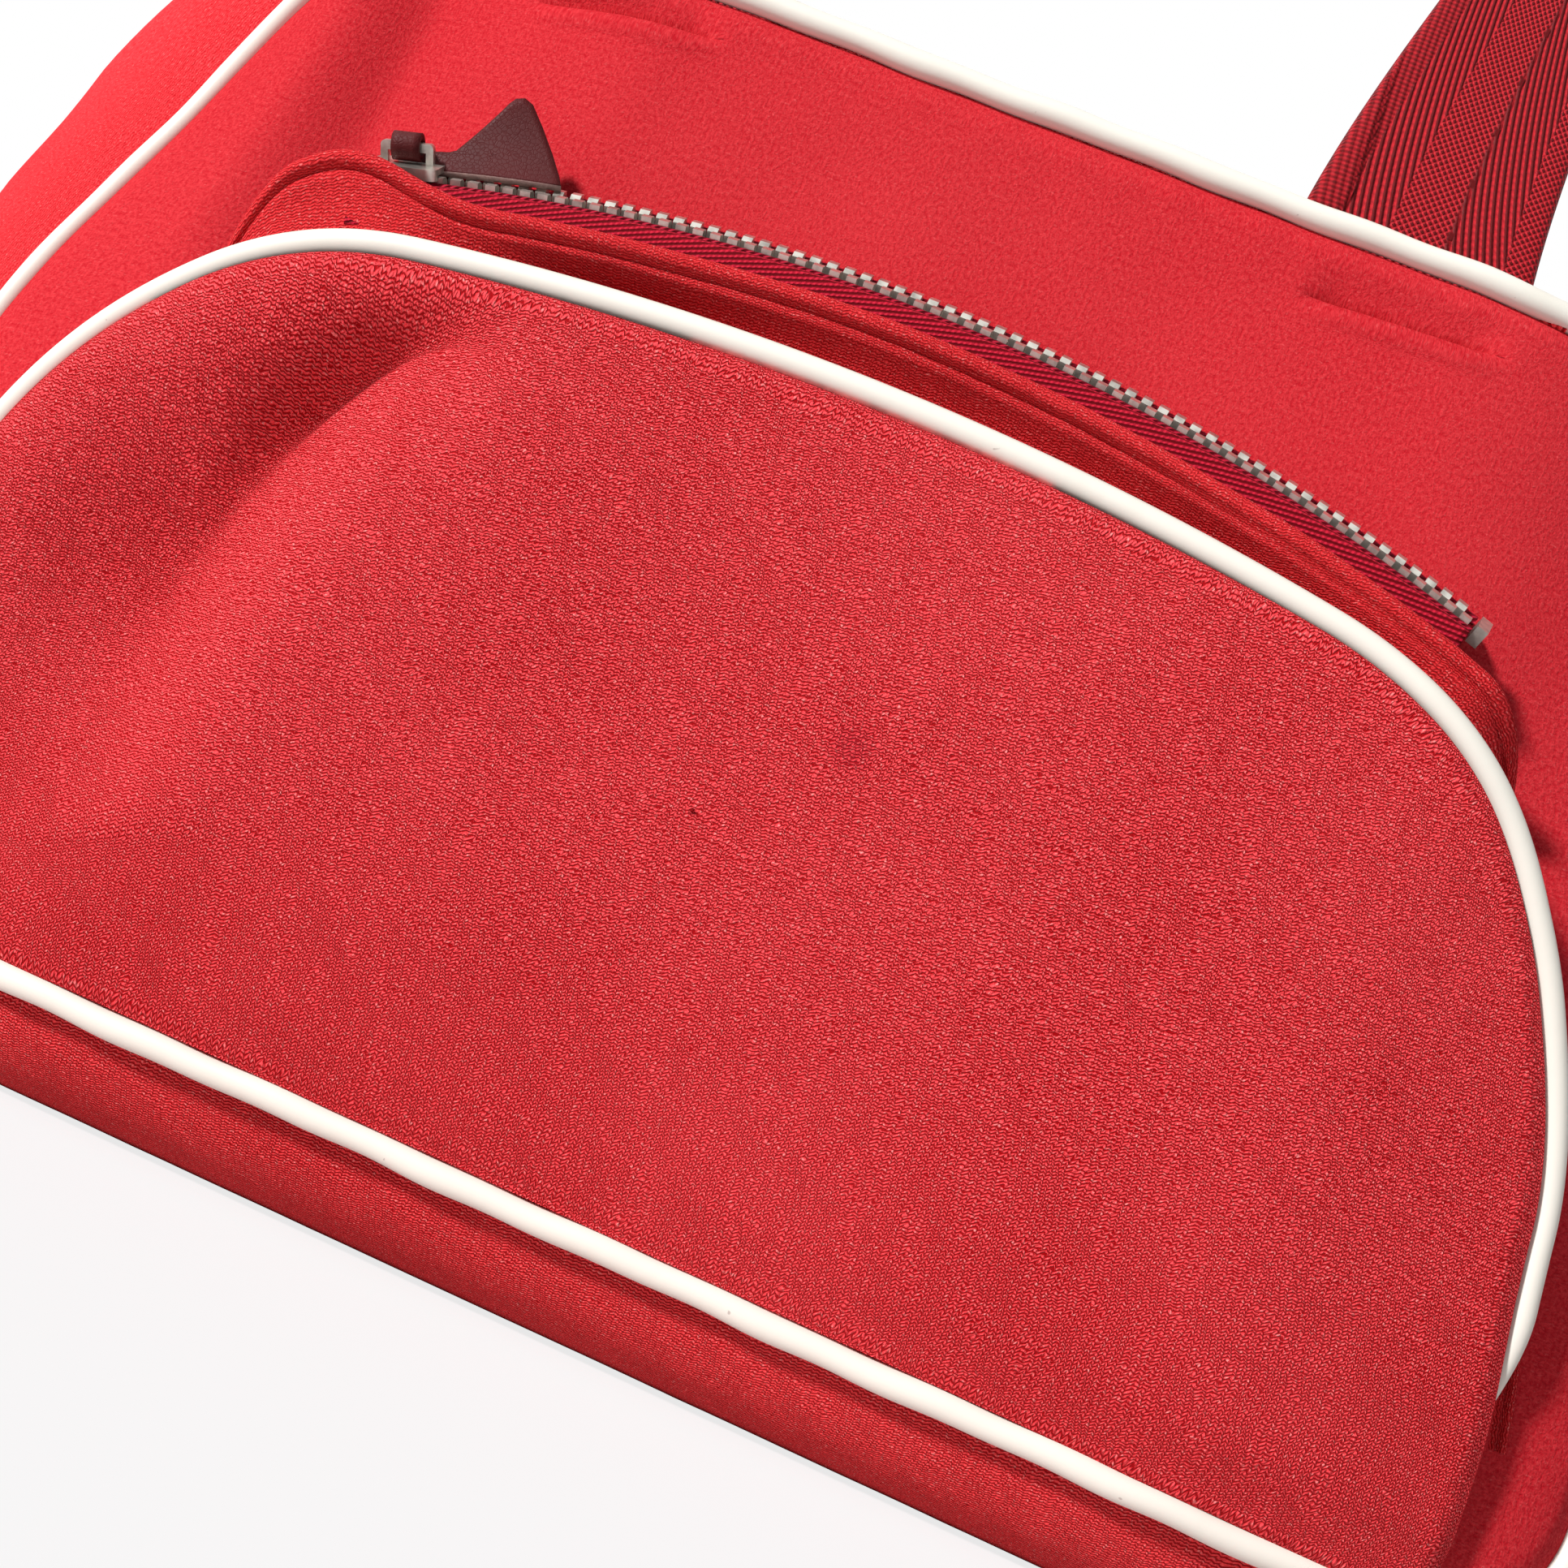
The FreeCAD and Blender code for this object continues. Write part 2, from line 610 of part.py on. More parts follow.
def slider():
    """Two plates round the chain, joined by a post between the rows, with a bridge for the tab."""
    inside = TOOTH_HEIGHT / 2 + SLIDER_CLEARANCE
    outside = inside + SLIDER_PLATE
    long = SLIDER_HALF_LENGTH
    outline = [V(-long, -SLIDER_HALF_NARROW, 0), V(long, -SLIDER_HALF_WIDE, 0),
               V(long, SLIDER_HALF_WIDE, 0), V(-long, SLIDER_HALF_NARROW, 0)]
    block = Part.Face(polygon(outline)).extrude(V(0, 0, 2 * outside))
    block.translate(V(0, 0, -outside))
    upright = [e for e in block.Edges if abs(e.tangentAt(e.FirstParameter).z) > 0.9]
    block = block.makeFillet(SLIDER_CORNER, upright)
    channel = SLIDER_HALF_NARROW - SLIDER_FLANGE
    block = block.cut(box(V(-2 * long, -channel, -inside), V(2 * long, channel, inside)))
    slot = SLIDER_SLOT / 2
    block = block.cut(box(V(-2 * long, -2 * long, -slot), V(2 * long, 2 * long, slot)))
    post = box(V(-SLIDER_POST, -SLIDER_POST / 2, -outside),
               V(long - SLIDER_POST_BACK, SLIDER_POST / 2, outside))
    reach = BRIDGE_HALF_LENGTH
    half = BRIDGE_BAR / 2
    top = BRIDGE_RISE + half
    bridge = box(V(-reach, -half, outside - SLIDER_PLATE / 2), V(reach, half, top))
    clear = reach - BRIDGE_LEG
    bridge = bridge.cut(box(V(-clear, -half, outside), V(clear, half, BRIDGE_RISE - half)))
    over = [e for e in bridge.Edges if abs(e.tangentAt(e.FirstParameter).y) > 0.9
            and e.CenterOfMass.z > BRIDGE_RISE]
    bridge = bridge.makeFillet(half, over)
    return block.fuse([post, bridge]).removeSplitter()


def tab():
    """A leather tab, a lopsided plectrum, looped round the slider's bridge and standing behind."""
    inner = TAB_LOOP_INNER + TAB_LOOP_WALL
    foot = BRIDGE_RISE + TAB_FOOT
    tip = foot + TAB_HEIGHT

    def spot(x, z):
        return V(x, inner, z)
    tip_left = spot(TAB_TIP - TAB_TIP_HALF, tip - TAB_TIP_RISE)
    tip_right = spot(TAB_TIP + TAB_TIP_HALF, tip - TAB_TIP_RISE)
    cut_right = spot(TAB_RIGHT, foot + TAB_CUT)
    bowed = (tip_right + cut_right) * 0.5 + V(TAB_BOW, 0, TAB_BOW)
    corners = [cut_right, spot(TAB_RIGHT, foot), spot(-TAB_LEFT, foot),
               spot(-TAB_LEFT, foot + TAB_CUT), tip_left]
    edges = [Part.LineSegment(a, b).toShape() for a, b in zip(corners, corners[1:])]
    edges.append(Part.Arc(tip_left, spot(TAB_TIP, tip), tip_right).toShape())
    edges.append(Part.Arc(tip_right, bowed, cut_right).toShape())
    leaf = Part.Face(Part.Wire(edges)).extrude(V(0, TAB_THICK, 0))
    width = TAB_LOOP_WIDTH
    axis_start = V(-width / 2, 0, BRIDGE_RISE)
    loop = Part.makeCylinder(inner, width, axis_start, V(1, 0, 0))
    neck = box(axis_start, V(width / 2, inner + TAB_THICK / 2, BRIDGE_RISE + inner))
    hole = Part.makeCylinder(TAB_LOOP_INNER, width, axis_start, V(1, 0, 0))
    return leaf.fuse([loop, neck]).cut(hole).removeSplitter()


def leaning_tab(angle):
    """The tab, tipped over its bridge towards the front by an angle."""
    shape = tab()
    shape.rotate(V(0, 0, BRIDGE_RISE), V(1, 0, 0), angle)
    return shape


def on_pocket_zip(shape):
    """Puts a slider piece on the pocket's chain, tilted with it, near its left end."""
    shape = shape.copy()
    shape.rotate(V(0, 0, 0), V(1, 0, 0), POCKET_ZIP_TILT)
    shape.translate(V(0, -HALF_DEPTH - POCKET_ZIP_STAND, POCKET_ZIP_Z + POCKET_ZIP_RADIUS))
    shape.rotate(V(0, 0, POCKET_ZIP_Z), V(0, 1, 0), -POCKET_SLIDER_REST)
    return shape


def on_top_zip(shape):
    shape = shape.copy()
    shape.translate(V(TOP_ZIP_HALF - TOP_SLIDER_INSET, 0, TOP_CHAIN_Z))
    return shape


# ---- handles ----------------------------------------------------------------------------------

BEND_Z = TOP_Z + BEND_ABOVE_SEAM


def handle():
    """The webbing loop: its legs are folded narrower and thicker up to an arched grip."""
    clear = STRAP_THICK / 2 + SEW_GAP
    shoulder_z = BEND_Z + HANDLE_RISE - HANDLE_ARCH
    arch_x = HANDLE_X + HANDLE_SPREAD
    inside = arch_x - HANDLE_ARCH

    def slab(x, z, wide, thick):
        spots = [(-wide, -thick), (wide, -thick), (wide, thick), (-wide, thick)]
        return polygon([V(x + a / 2, STRAP_Y + b / 2, z) for a, b in spots])
    leg = loft([slab(HANDLE_X, BEND_Z + clear, STRAP_WIDTH, STRAP_THICK),
                slab(arch_x, shoulder_z, GRIP_WIDTH, GRIP_THICK)])
    top = slab(arch_x, shoulder_z, GRIP_WIDTH, GRIP_THICK)
    bend = Part.Face(top).revolve(V(inside, 0, shoulder_z), V(0, 1, 0), -90)
    low = V(-inside, STRAP_Y - GRIP_THICK / 2, shoulder_z + HANDLE_ARCH - GRIP_WIDTH / 2)
    grip = box(low, low + V(2 * inside, GRIP_THICK, GRIP_WIDTH))
    side = leg.fuse(bend)
    return grip.fuse([side, side.mirror(V(0, 0, 0), V(1, 0, 0))]).removeSplitter()


def back_handle():
    """The back handle, dropped away from the bag about its bend."""
    shape = mirrored(handle())
    shape.rotate(V(0, -STRAP_Y, BEND_Z), V(-1, 0, 0), BACK_LEAN)
    return shape


def handle_tails():
    """The handle's two sewn ends: flat behind the panel, rounded at the line of the bend."""
    half = STRAP_THICK / 2
    tails = []
    for side in (-1, 1):
        left = side * HANDLE_X - STRAP_WIDTH / 2
        low = V(left, STRAP_Y - half, TOP_Z - TAIL_LENGTH)
        flat = box(low, V(left + STRAP_WIDTH, STRAP_Y + half, BEND_Z))
        bend = Part.makeCylinder(half, STRAP_WIDTH, V(left, STRAP_Y, BEND_Z), V(1, 0, 0))
        tails.append(flat.fuse(bend).removeSplitter())
    return Part.makeCompound(tails)


# ---- the bag ----------------------------------------------------------------------------------

def pieces():
    front = {
        "front_panel": front_panel(),
        "front_piping": main_piping(),
        "front_handle_tails": handle_tails(),
        "top_strip_front": top_strip(),
    }
    bag = dict(front)
    for name, shape in front.items():
        bag[name.replace("front", "back")] = mirrored(shape)
    bag["front_handle"] = handle()
    bag["back_handle"] = back_handle()
    bag["right_gusset"] = gusset(slice(1, 4), (5, 2, 6))
    bag["base_gusset"] = gusset(slice(4, 5), (10,))
    bag["left_gusset"] = gusset(slice(5, 8), (6, 2, 5))
    bag["base_board"] = base_board()
    bag["pocket_face"] = pocket_face()
    bag["pocket_piping"] = pocket_piping()
    bag["pocket_strip"] = pocket_strip()
    bag["pocket_zip_tape_inner"] = pocket_tape(-1, TAPE_FALL, TAPE_FALL_LENGTH)
    bag["pocket_zip_tape_outer"] = pocket_tape(1, TAPE_RISE, TAPE_RISE_LENGTH)
    bag["pocket_zip_teeth_inner"] = pocket_teeth(-1)
    bag["pocket_zip_teeth_outer"] = pocket_teeth(1)
    bag["pocket_zip_stops"] = pocket_stops()
    bag["pocket_zip_slider"] = on_pocket_zip(slider())
    bag["pocket_zip_tab"] = on_pocket_zip(leaning_tab(-POCKET_TAB_LEAN))
    bag["top_zip_tape_front"] = top_tape(-1)
    bag["top_zip_tape_back"] = top_tape(1)
    bag["top_zip_teeth_front"] = top_teeth(-1)
    bag["top_zip_teeth_back"] = top_teeth(1)
    bag["top_zip_stops"] = top_stops()
    bag["top_zip_slider"] = on_top_zip(slider())
    bag["top_zip_tab"] = on_top_zip(leaning_tab(TOP_TAB_LIE))
    return bag


os.makedirs("parts", exist_ok=True)
for node, shape in pieces().items():
    shape.translate(V(0, SHIFT_Y, 0))
    shape.exportStep("parts/" + node + ".step")
    size = shape.BoundBox
    print(f"{node:26s} valid {shape.isValid()} solids {len(shape.Solids)} volume {shape.Volume:9.0f}"
          f" x {size.XMin:.1f} {size.XMax:.1f} y {size.YMin:.1f} {size.YMax:.1f}"
          f" z {size.ZMin:.1f} {size.ZMax:.1f}")
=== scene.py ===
"""The looks of a small red knit handbag: cloth, piping, webbing, zips and their leather tabs.

Lengths are in millimetres until a mesh is made. X runs along the bag, the front faces -Y, Z is up.
"""

import math

import bpy
import numpy as np
from mathutils import Matrix, Vector, noise


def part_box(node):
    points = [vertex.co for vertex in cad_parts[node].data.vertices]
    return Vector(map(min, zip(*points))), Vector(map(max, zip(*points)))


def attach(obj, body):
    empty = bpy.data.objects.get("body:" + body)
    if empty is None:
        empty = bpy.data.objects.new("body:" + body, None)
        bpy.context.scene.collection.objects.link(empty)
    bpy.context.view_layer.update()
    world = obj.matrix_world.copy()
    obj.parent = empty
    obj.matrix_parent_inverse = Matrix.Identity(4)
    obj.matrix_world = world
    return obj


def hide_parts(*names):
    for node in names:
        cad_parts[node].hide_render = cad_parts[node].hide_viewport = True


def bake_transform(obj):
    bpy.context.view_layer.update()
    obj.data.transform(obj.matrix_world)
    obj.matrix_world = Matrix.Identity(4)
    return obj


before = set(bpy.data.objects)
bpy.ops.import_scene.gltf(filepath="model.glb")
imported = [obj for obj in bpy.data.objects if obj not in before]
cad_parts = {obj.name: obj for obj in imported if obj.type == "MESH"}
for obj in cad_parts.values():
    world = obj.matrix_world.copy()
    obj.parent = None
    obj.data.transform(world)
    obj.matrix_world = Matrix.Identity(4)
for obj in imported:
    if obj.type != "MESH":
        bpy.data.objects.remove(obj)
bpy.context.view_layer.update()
MM = 0.001


def low(node):
    return np.array(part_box(node)[0]) / MM


def high(node):
    return np.array(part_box(node)[1]) / MM


# Body: places read from the frame, and the sizes that its solids were drawn with
HALF_DEPTH = 60.0
MIDDLE_Y = high("back_panel")[1] - HALF_DEPTH
WAY = {"front": -1, "back": 1}
SEAM_Z = low("front_panel")[2]
TOP_Z = high("front_panel")[2]
BASE_HALF = 122.0
TOP_HALF = 112.0
BASE_CORNER = 16.0
TOP_CORNER = 34.0
PLAN_FLAT = 66.0
FULL_FLAT = 77.0        # the front's lower right has filled out: flat this far from the middle
SPREAD = 14.0           # and the side seams have spread this much towards the base
PLAN_RADIUS = 76.0
KNIT = 3.0
PANEL_CLOTH = KNIT - 1.2        # the panels' cloth as it is drawn, thinner than the solid
GUSSET_CLOTH = 2.0
TOP_CLOTH = 1.6
SEAM_TUCK = 1.7         # the panels' cloth turns in this much at its seam
TUCK_REACH = 4.5
FOLD_DEPTH = 7.0        # upright fold in the front's upper left
SUNK_DEPTH = 8.5        # hollow in the front behind the pocket's sunken corner
BASE_SWELL = SEAM_Z - low("base_gusset")[2]
TOP_SWELL = high("top_strip_front")[2] - TOP_Z
SIDE_SWELL = 38.0
BASE_FLAT = 34.0
SIDE_FLAT = 8.0
TOP_FLAT = 24.0
SLOT_HALF = 8.0

# Dimples in the panels where the handles' sewn ends stop
DIMPLE_Z = 171.6
DIMPLE_HALF = 14.5
DIMPLE_GROOVE = 3.2
DIMPLE_HOLLOW = 1.4
DIMPLE_LIP = 0.5

# Piping
PIPE_RADIUS = 1.9
PIPE_OUT = 2.1
PIPE_FORWARD = 0.5

# Pocket
POCKET_HEIGHT = high("pocket_face")[2] - SEAM_Z
POCKET_ARCH = 400.0
POCKET_ARCH_HALF = 9.0
POCKET_CORNER = 60.0
POCKET_FLARE = 4.0
POCKET_FOOT_CORNER = 5.5
POCKET_WEDGE = math.tan(math.radians(9.0))
POCKET_FACE_OUT = 2.8
POCKET_PIPE_SEAT = 1.6
POCKET_BULGE = 1.8
POCKET_RIM_TURN = 1.2
POCKET_FOOT_TURN = 2.2
POCKET_TURN_MOST = 2.9
DENT_DEPTH = 13.5       # the sunken upper left corner
DENT_REACH = (9.0, 26.0)        # from the edge to its slope: along the top, and at the side
DENT_CLIMB = 52.0       # from its bottom to the level face
PIPING_FOOT = 14.0      # height above the seam at which the pocket's piping ends
PIPING_TAPER = 22.0     # how far from there it begins to slip behind the face
PIPING_FOOT_IN = 3.6    # how far in and back it has slipped at its end
PIPING_FOOT_BACK = 1.2
SHOULDER_DRAWN = 2.6    # the pocket's right side, drawn in at its shoulder
FOOT_DRAWN = 2.4        # and out at its foot

# Half-moon pocket's strip and zip
POCKET_FOOT = 19.0
STRIP_INSET = 1.0
STRIP_THICK = 1.8
STRIP_FOOT_WIDTH = 5.0
STRIP_BELOW_CHAIN = 8.6
STRIP_FORWARD = 7.5
STRIP_DROP = (25.0, 45.0)
STRIP_RAISED = 1.5      # the roll's top, above the strip's edge in the solid
STRIP_SAG = 1.1
STRIP_HOLLOW = 5.0      # how deep it sinks behind the middle of the pocket
COVER_RISE = 6.6        # and how high it stands where it covers the slider
COVER_HALF = 2.3
ROLL_RADIUS = 1.15
NEEDLE_HOLES = (37.9, 35.2, 32.5, 29.6)
ZIP_RADIUS = 260.0
ZIP_CENTRE = np.array([0.0, SEAM_Z + POCKET_HEIGHT + 20.0 - ZIP_RADIUS])
ZIP_STAND = 9.5
ZIP_TILT = 38.0
ZIP_LEFT = 17.5
ZIP_RIGHT = 18.0
SLIDER_REST = 16.2
TOOTH_ROOT = 3.0
TAPE_THICK = 0.7
CORD_RADIUS = 0.62
CORD_OUT = 0.35
TAPE_STRAIGHT = 4.9
TAPE_FALL = (80.0, 7.3)
TAPE_RISE = (17.0, 5.1)
TOP_CHAIN_Z = (low("top_zip_tape_front")[2] + high("top_zip_tape_front")[2]) / 2
TOP_TAPE_HALF = 16.0
TOP_SLIDER_X = 65.0

# Leather tabs, measured from the bar that they hang on
BRIDGE_RISE = 4.4
LOOP_RADIUS = 1.5
LOOP_WALL = 0.8
LOOP_WIDTH = 3.8
LEAF_BACK = 2.5
LEAF_THICK = 1.2

# Handles
STRAP_WIDTH = 34.0
GRIP_WIDTH = 20.0
STRAP_THICK = 2.4
GRIP_THICK = 5.0
HANDLE_X = 57.5
HANDLE_SPREAD = 7.0
HANDLE_ARCH = 50.0
STRAP_DEPTH = 54.9
BEND_Z = TOP_Z + 6.0
SHOULDER_Z = high("front_handle")[2] - GRIP_WIDTH / 2 - HANDLE_ARCH
TAIL_FOOT = low("front_handle_tails")[2]
BACK_LEAN = 45.0


# ---- flat edges, sampled in the XZ plane

def polar(centre, radius, angle):
    """A point at an angle from straight up, turning to +X, in degrees."""
    turn = np.radians(angle)
    return np.stack([centre[0] + radius * np.sin(turn), centre[1] + radius * np.cos(turn)], -1)


def length_along(line):
    """How far along a line each of its points lies."""
    return np.append(0, np.cumsum(np.linalg.norm(np.diff(line, axis=0), axis=1)))


class Edge:
    """A smooth edge walked clockwise as the front is seen, with its outward normals."""

    def __init__(self, stretches, step):
        points, normals = [], []
        for stretch in stretches:
            if stretch[0] == "line":
                a, b = np.array(stretch[1]), np.array(stretch[2])
                length = np.hypot(*(b - a))
                share = np.linspace(0, 1, max(2, int(length / step)), endpoint=False)[:, None]
                points.append(a + (b - a) * share)
                normals.append(np.tile([-(b - a)[1], (b - a)[0]], (len(share), 1)) / length)
            else:
                centre, radius, start, end = stretch[1:]
                length = abs(radius * math.radians(end - start))
                angles = np.linspace(start, end, max(3, int(length / step)), endpoint=False)
                points.append(polar(centre, radius, angles))
                normals.append(polar((0, 0), 1.0, angles))
        self.points = np.concatenate(points)
        self.normals = np.concatenate(normals)
        self.along = length_along(self.points)

    def out(self, distance):
        return self.points + self.normals * np.reshape(distance, (-1, 1))


def corner(at, radius, before, after):
    half = math.radians(after - before) / 2
    return polar(at, -radius / math.cos(half), (before + after) / 2)


SIDE_ANGLE = 90.0 - math.degrees(math.atan2(BASE_HALF - TOP_HALF, TOP_Z - SEAM_Z))
UPPER = corner((TOP_HALF, TOP_Z), TOP_CORNER, 0, SIDE_ANGLE)
LOWER = corner((BASE_HALF, SEAM_Z), BASE_CORNER, SIDE_ANGLE, 180)
MIRROR = np.array([-1, 1])


def panel_edge(step):
    """The panel's seam, from the right end of its straight top, clockwise and all round."""
    turn = 360 - SIDE_ANGLE
    return Edge([
        ("arc", UPPER, TOP_CORNER, 0, SIDE_ANGLE),
        ("line", polar(UPPER, TOP_CORNER, SIDE_ANGLE), polar(LOWER, BASE_CORNER, SIDE_ANGLE)),
        ("arc", LOWER, BASE_CORNER, SIDE_ANGLE, 180),
        ("line", polar(LOWER, BASE_CORNER, 180), polar(LOWER * MIRROR, BASE_CORNER, 180)),
        ("arc", LOWER * MIRROR, BASE_CORNER, 180, turn),
        ("line", polar(LOWER * MIRROR, BASE_CORNER, turn), polar(UPPER * MIRROR, TOP_CORNER, turn)),
        ("arc", UPPER * MIRROR, TOP_CORNER, turn, 360),
        ("line", polar(UPPER * MIRROR, TOP_CORNER, 0), polar(UPPER, TOP_CORNER, 0)),
    ], step)


ARCH_CENTRE = np.array([0.0, SEAM_Z + POCKET_HEIGHT - POCKET_ARCH])
SHOULDER = polar(ARCH_CENTRE, POCKET_ARCH - POCKET_CORNER, POCKET_ARCH_HALF)
POCKET_SIDE = 90.0 - POCKET_FLARE


def pocket_stretches(foot):
    end = polar(SHOULDER, POCKET_CORNER, POCKET_SIDE)
    drop = end[1] - SEAM_Z - foot
    low_end = end + [drop * math.tan(math.radians(POCKET_FLARE)), -drop]
    return [
        ("line", low_end * MIRROR, end * MIRROR),
        ("arc", SHOULDER * MIRROR, POCKET_CORNER, -POCKET_SIDE, -POCKET_ARCH_HALF),
        ("arc", ARCH_CENTRE, POCKET_ARCH, -POCKET_ARCH_HALF, POCKET_ARCH_HALF),
        ("arc", SHOULDER, POCKET_CORNER, POCKET_ARCH_HALF, POCKET_SIDE),
        ("line", end, low_end),
    ]


def pocket_edge(step):
    """The closed edge of the pocket's face: round its arch and back along the bottom seam."""
    stretches = pocket_stretches(0.0)
    edge = Edge(stretches + [("line", stretches[-1][2], stretches[0][1])], step)
    for side in (-1, 1):
        centre = np.array([side * (stretches[-1][2][0] - POCKET_FOOT_CORNER), SEAM_Z + POCKET_FOOT_CORNER])
        away = edge.points - centre
        reach = np.hypot(*away.T)
        past = (reach > POCKET_FOOT_CORNER) & (away[:, 1] < 0) & (away[:, 0] * side > 0)
        edge.points[past] = centre + away[past] / reach[past, None] * POCKET_FOOT_CORNER
    return edge


def smooth(value, start, end):
    share = np.clip((value - start) / (end - start), 0, 1)
    return share * share * (3 - 2 * share)


def plan_depth(x, flat=PLAN_FLAT):
    past = np.maximum(0.0, np.abs(x) - flat)
    return HALF_DEPTH - PLAN_RADIUS + np.sqrt(np.maximum(PLAN_RADIUS ** 2 - past ** 2, 0))


def front_plan(x, z):
    """The front's depth, filled out at its lower right."""
    full = (FULL_FLAT - PLAN_FLAT) * (1 - smooth(z, 100.0, 160.0))
    return plan_depth(x, PLAN_FLAT + np.where(x > 0, full, 0.0))


def spread_by(x, z):
    reach = np.abs(x)
    share = smooth(reach, 90.0, 118.0) * (1 - 0.75 * smooth(reach, 122.0, 160.0))
    return np.sign(x) * SPREAD * share * (1 - smooth(z, 95.0, 165.0))


def spread(points):
    """The bag has settled: its side seams lie further out towards the base, its widest line hardly."""
    moved = points.copy()
    moved[..., 0] += spread_by(points[..., 0], points[..., 2])
    return moved


def settled_plan(x, z):
    """The front's depth at a place across it once its seams have spread."""
    before = x      # where that place was; each turn brings it closer
    for _ in range(14):
        before = x - spread_by(before, z)
    return front_plan(before, z)


def pocket_settle(points):
    """The pocket's right side has sunk with the bag: drawn in at its shoulder, out at its foot."""
    x, z = points[..., 0], points[..., 2]
    shoulder = SHOULDER_DRAWN * smooth(z, 56.0, 88.0) * (1 - smooth(z, 96.0, 124.0))
    foot = FOOT_DRAWN * (1 - smooth(z, 34.0, 62.0))
    moved = points.copy()
    moved[..., 0] -= (shoulder - foot) * smooth(x, 72.0, 106.0)
    return moved


def plan_length(x):
    """Distance round the panel's plan to a place across it."""
    past = np.clip((np.abs(x) - PLAN_FLAT) / PLAN_RADIUS, 0, 1)
    return np.sign(x) * (np.minimum(np.abs(x), PLAN_FLAT) + PLAN_RADIUS * np.arcsin(past))


def ripple(points, size, seed):
    """Soft random swelling, about -1 to 1, at the places of an array of points."""
    flat = points.reshape(-1, 3) / size + seed * 17.3
    return np.array([noise.noise(Vector(p)) for p in flat]).reshape(points.shape[:-1])


# ---- meshes

def make_mesh(name, points, faces, chart):
    """A smooth mesh; chart is where each point lies on the flat cloth, in millimetres."""
    mesh = bpy.data.meshes.new(name)
    mesh.from_pydata((points * MM).tolist(), [], faces.tolist())
    layer = mesh.uv_layers.new(name="cloth")
    corners = np.zeros(len(mesh.loops), np.int32)
    mesh.loops.foreach_get("vertex_index", corners)
    layer.data.foreach_set("uv", chart[corners].astype(np.float32).ravel())
    mesh.polygons.foreach_set("use_smooth", np.ones(len(mesh.polygons), bool))
    mesh.update()
    piece = bpy.data.objects.new(name, mesh)
    bpy.context.scene.collection.objects.link(piece)
    return piece


def net_faces(rows, columns, closed=False):
    row = np.arange(rows - 1)[:, None]
    column = np.arange(columns if closed else columns - 1)[None, :]
    after = (column + 1) % columns
    quads = [row * columns + column, (row + 1) * columns + column,
             (row + 1) * columns + after, row * columns + after]
    return np.stack(quads, -1).reshape(-1, 4)


def charted(u, v):
    return np.stack(np.broadcast_arrays(u, v), -1)


def travelled(a, b):
    """How far each row of places has gone at each of them, from its first."""
    steps = np.hypot(np.diff(a), np.diff(b))
    return np.concatenate([np.zeros((len(steps), 1)), np.cumsum(steps, 1)], 1)


def upright(x, z):
    return np.stack([x, np.zeros_like(x), z], -1)


def net(name, points, chart, closed=False):
    rows, columns = points.shape[:2]
    return make_mesh(name, points.reshape(-1, 3), net_faces(rows, columns, closed),
                     chart.reshape(-1, 2))


def thicken(piece, thickness, offset=-1.0):
    """Gives a cloth piece its thickness, inward from its modelled face."""
    layer = piece.modifiers.new("thickness", "SOLIDIFY")
    layer.thickness = thickness * MM
    layer.offset = offset
    return piece


def dress(piece, look, slot, body, *nodes):
    piece.data.materials.append(look)
    if nodes:
        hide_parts(*nodes)
    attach(piece, body)
    return piece


def tube(name, path, radii, sides=20, closed=False):
    """A round cord along a path of points; its chart runs round and along it."""
    if closed:
        ahead = np.roll(path, -1, 0) - np.roll(path, 1, 0)
    else:
        ahead = np.gradient(path, axis=0)
    ahead /= np.linalg.norm(ahead, axis=1)[:, None]
    first = np.cross(ahead, [0.0, 1.0, 0.0])
    first /= np.linalg.norm(first, axis=1)[:, None]
    second = np.cross(ahead, first)
    turn = np.linspace(0, 2 * np.pi, sides, endpoint=False)
    ring = first[:, None] * np.cos(turn)[None, :, None] + second[:, None] * np.sin(turn)[None, :, None]
    radii = np.broadcast_to(radii, len(path))
    points = path[:, None] + ring * radii[:, None, None]
    chart = charted(turn[None, :] * PIPE_RADIUS, length_along(path)[:, None])
    rows, columns = points.shape[:2]
    faces = net_faces(rows + int(closed), columns, True) % (rows * columns)
    return make_mesh(name, points.reshape(-1, 3), faces, chart.reshape(-1, 2))


# ---- shader sums

class Wire:
    """A number that changes over the cloth, written in ordinary sums."""

    def __init__(self, look, socket):
        self.look = look
        self.socket = socket

    def __add__(self, other):
        return self.look.sum("ADD", self, other)

    def __sub__(self, other):
        return self.look.sum("SUBTRACT", self, other)

    def __rsub__(self, other):
        return self.look.sum("SUBTRACT", other, self)

    def __mul__(self, other):
        return self.look.sum("MULTIPLY", self, other)

    def __truediv__(self, other):
        return self.look.sum("DIVIDE", self, other)

    __radd__ = __add__
    __rmul__ = __mul__

    def __abs__(self):
        return self.look.sum("ABSOLUTE", self)

    def part(self):
        """What is left of it past the last whole number."""
        return self.look.sum("FRACT", self)

    def whole(self):
        return self.look.sum("FLOOR", self)

    def wave(self):
        """0 at every whole number and 1 half-way between, with straight slopes."""
        return 1.0 - abs(self.part() * 2.0 - 1.0)

    def most(self, other):
        return self.look.sum("MAXIMUM", self, other)

    def rise(self, start, end):
        """0 before start, 1 after end and smooth between."""
        ramp = self.look.node("ShaderNodeMapRange", {"Value": self, "From Min": start, "From Max": end},
                              interpolation_type="SMOOTHSTEP")
        return Wire(self.look, ramp.outputs["Result"])


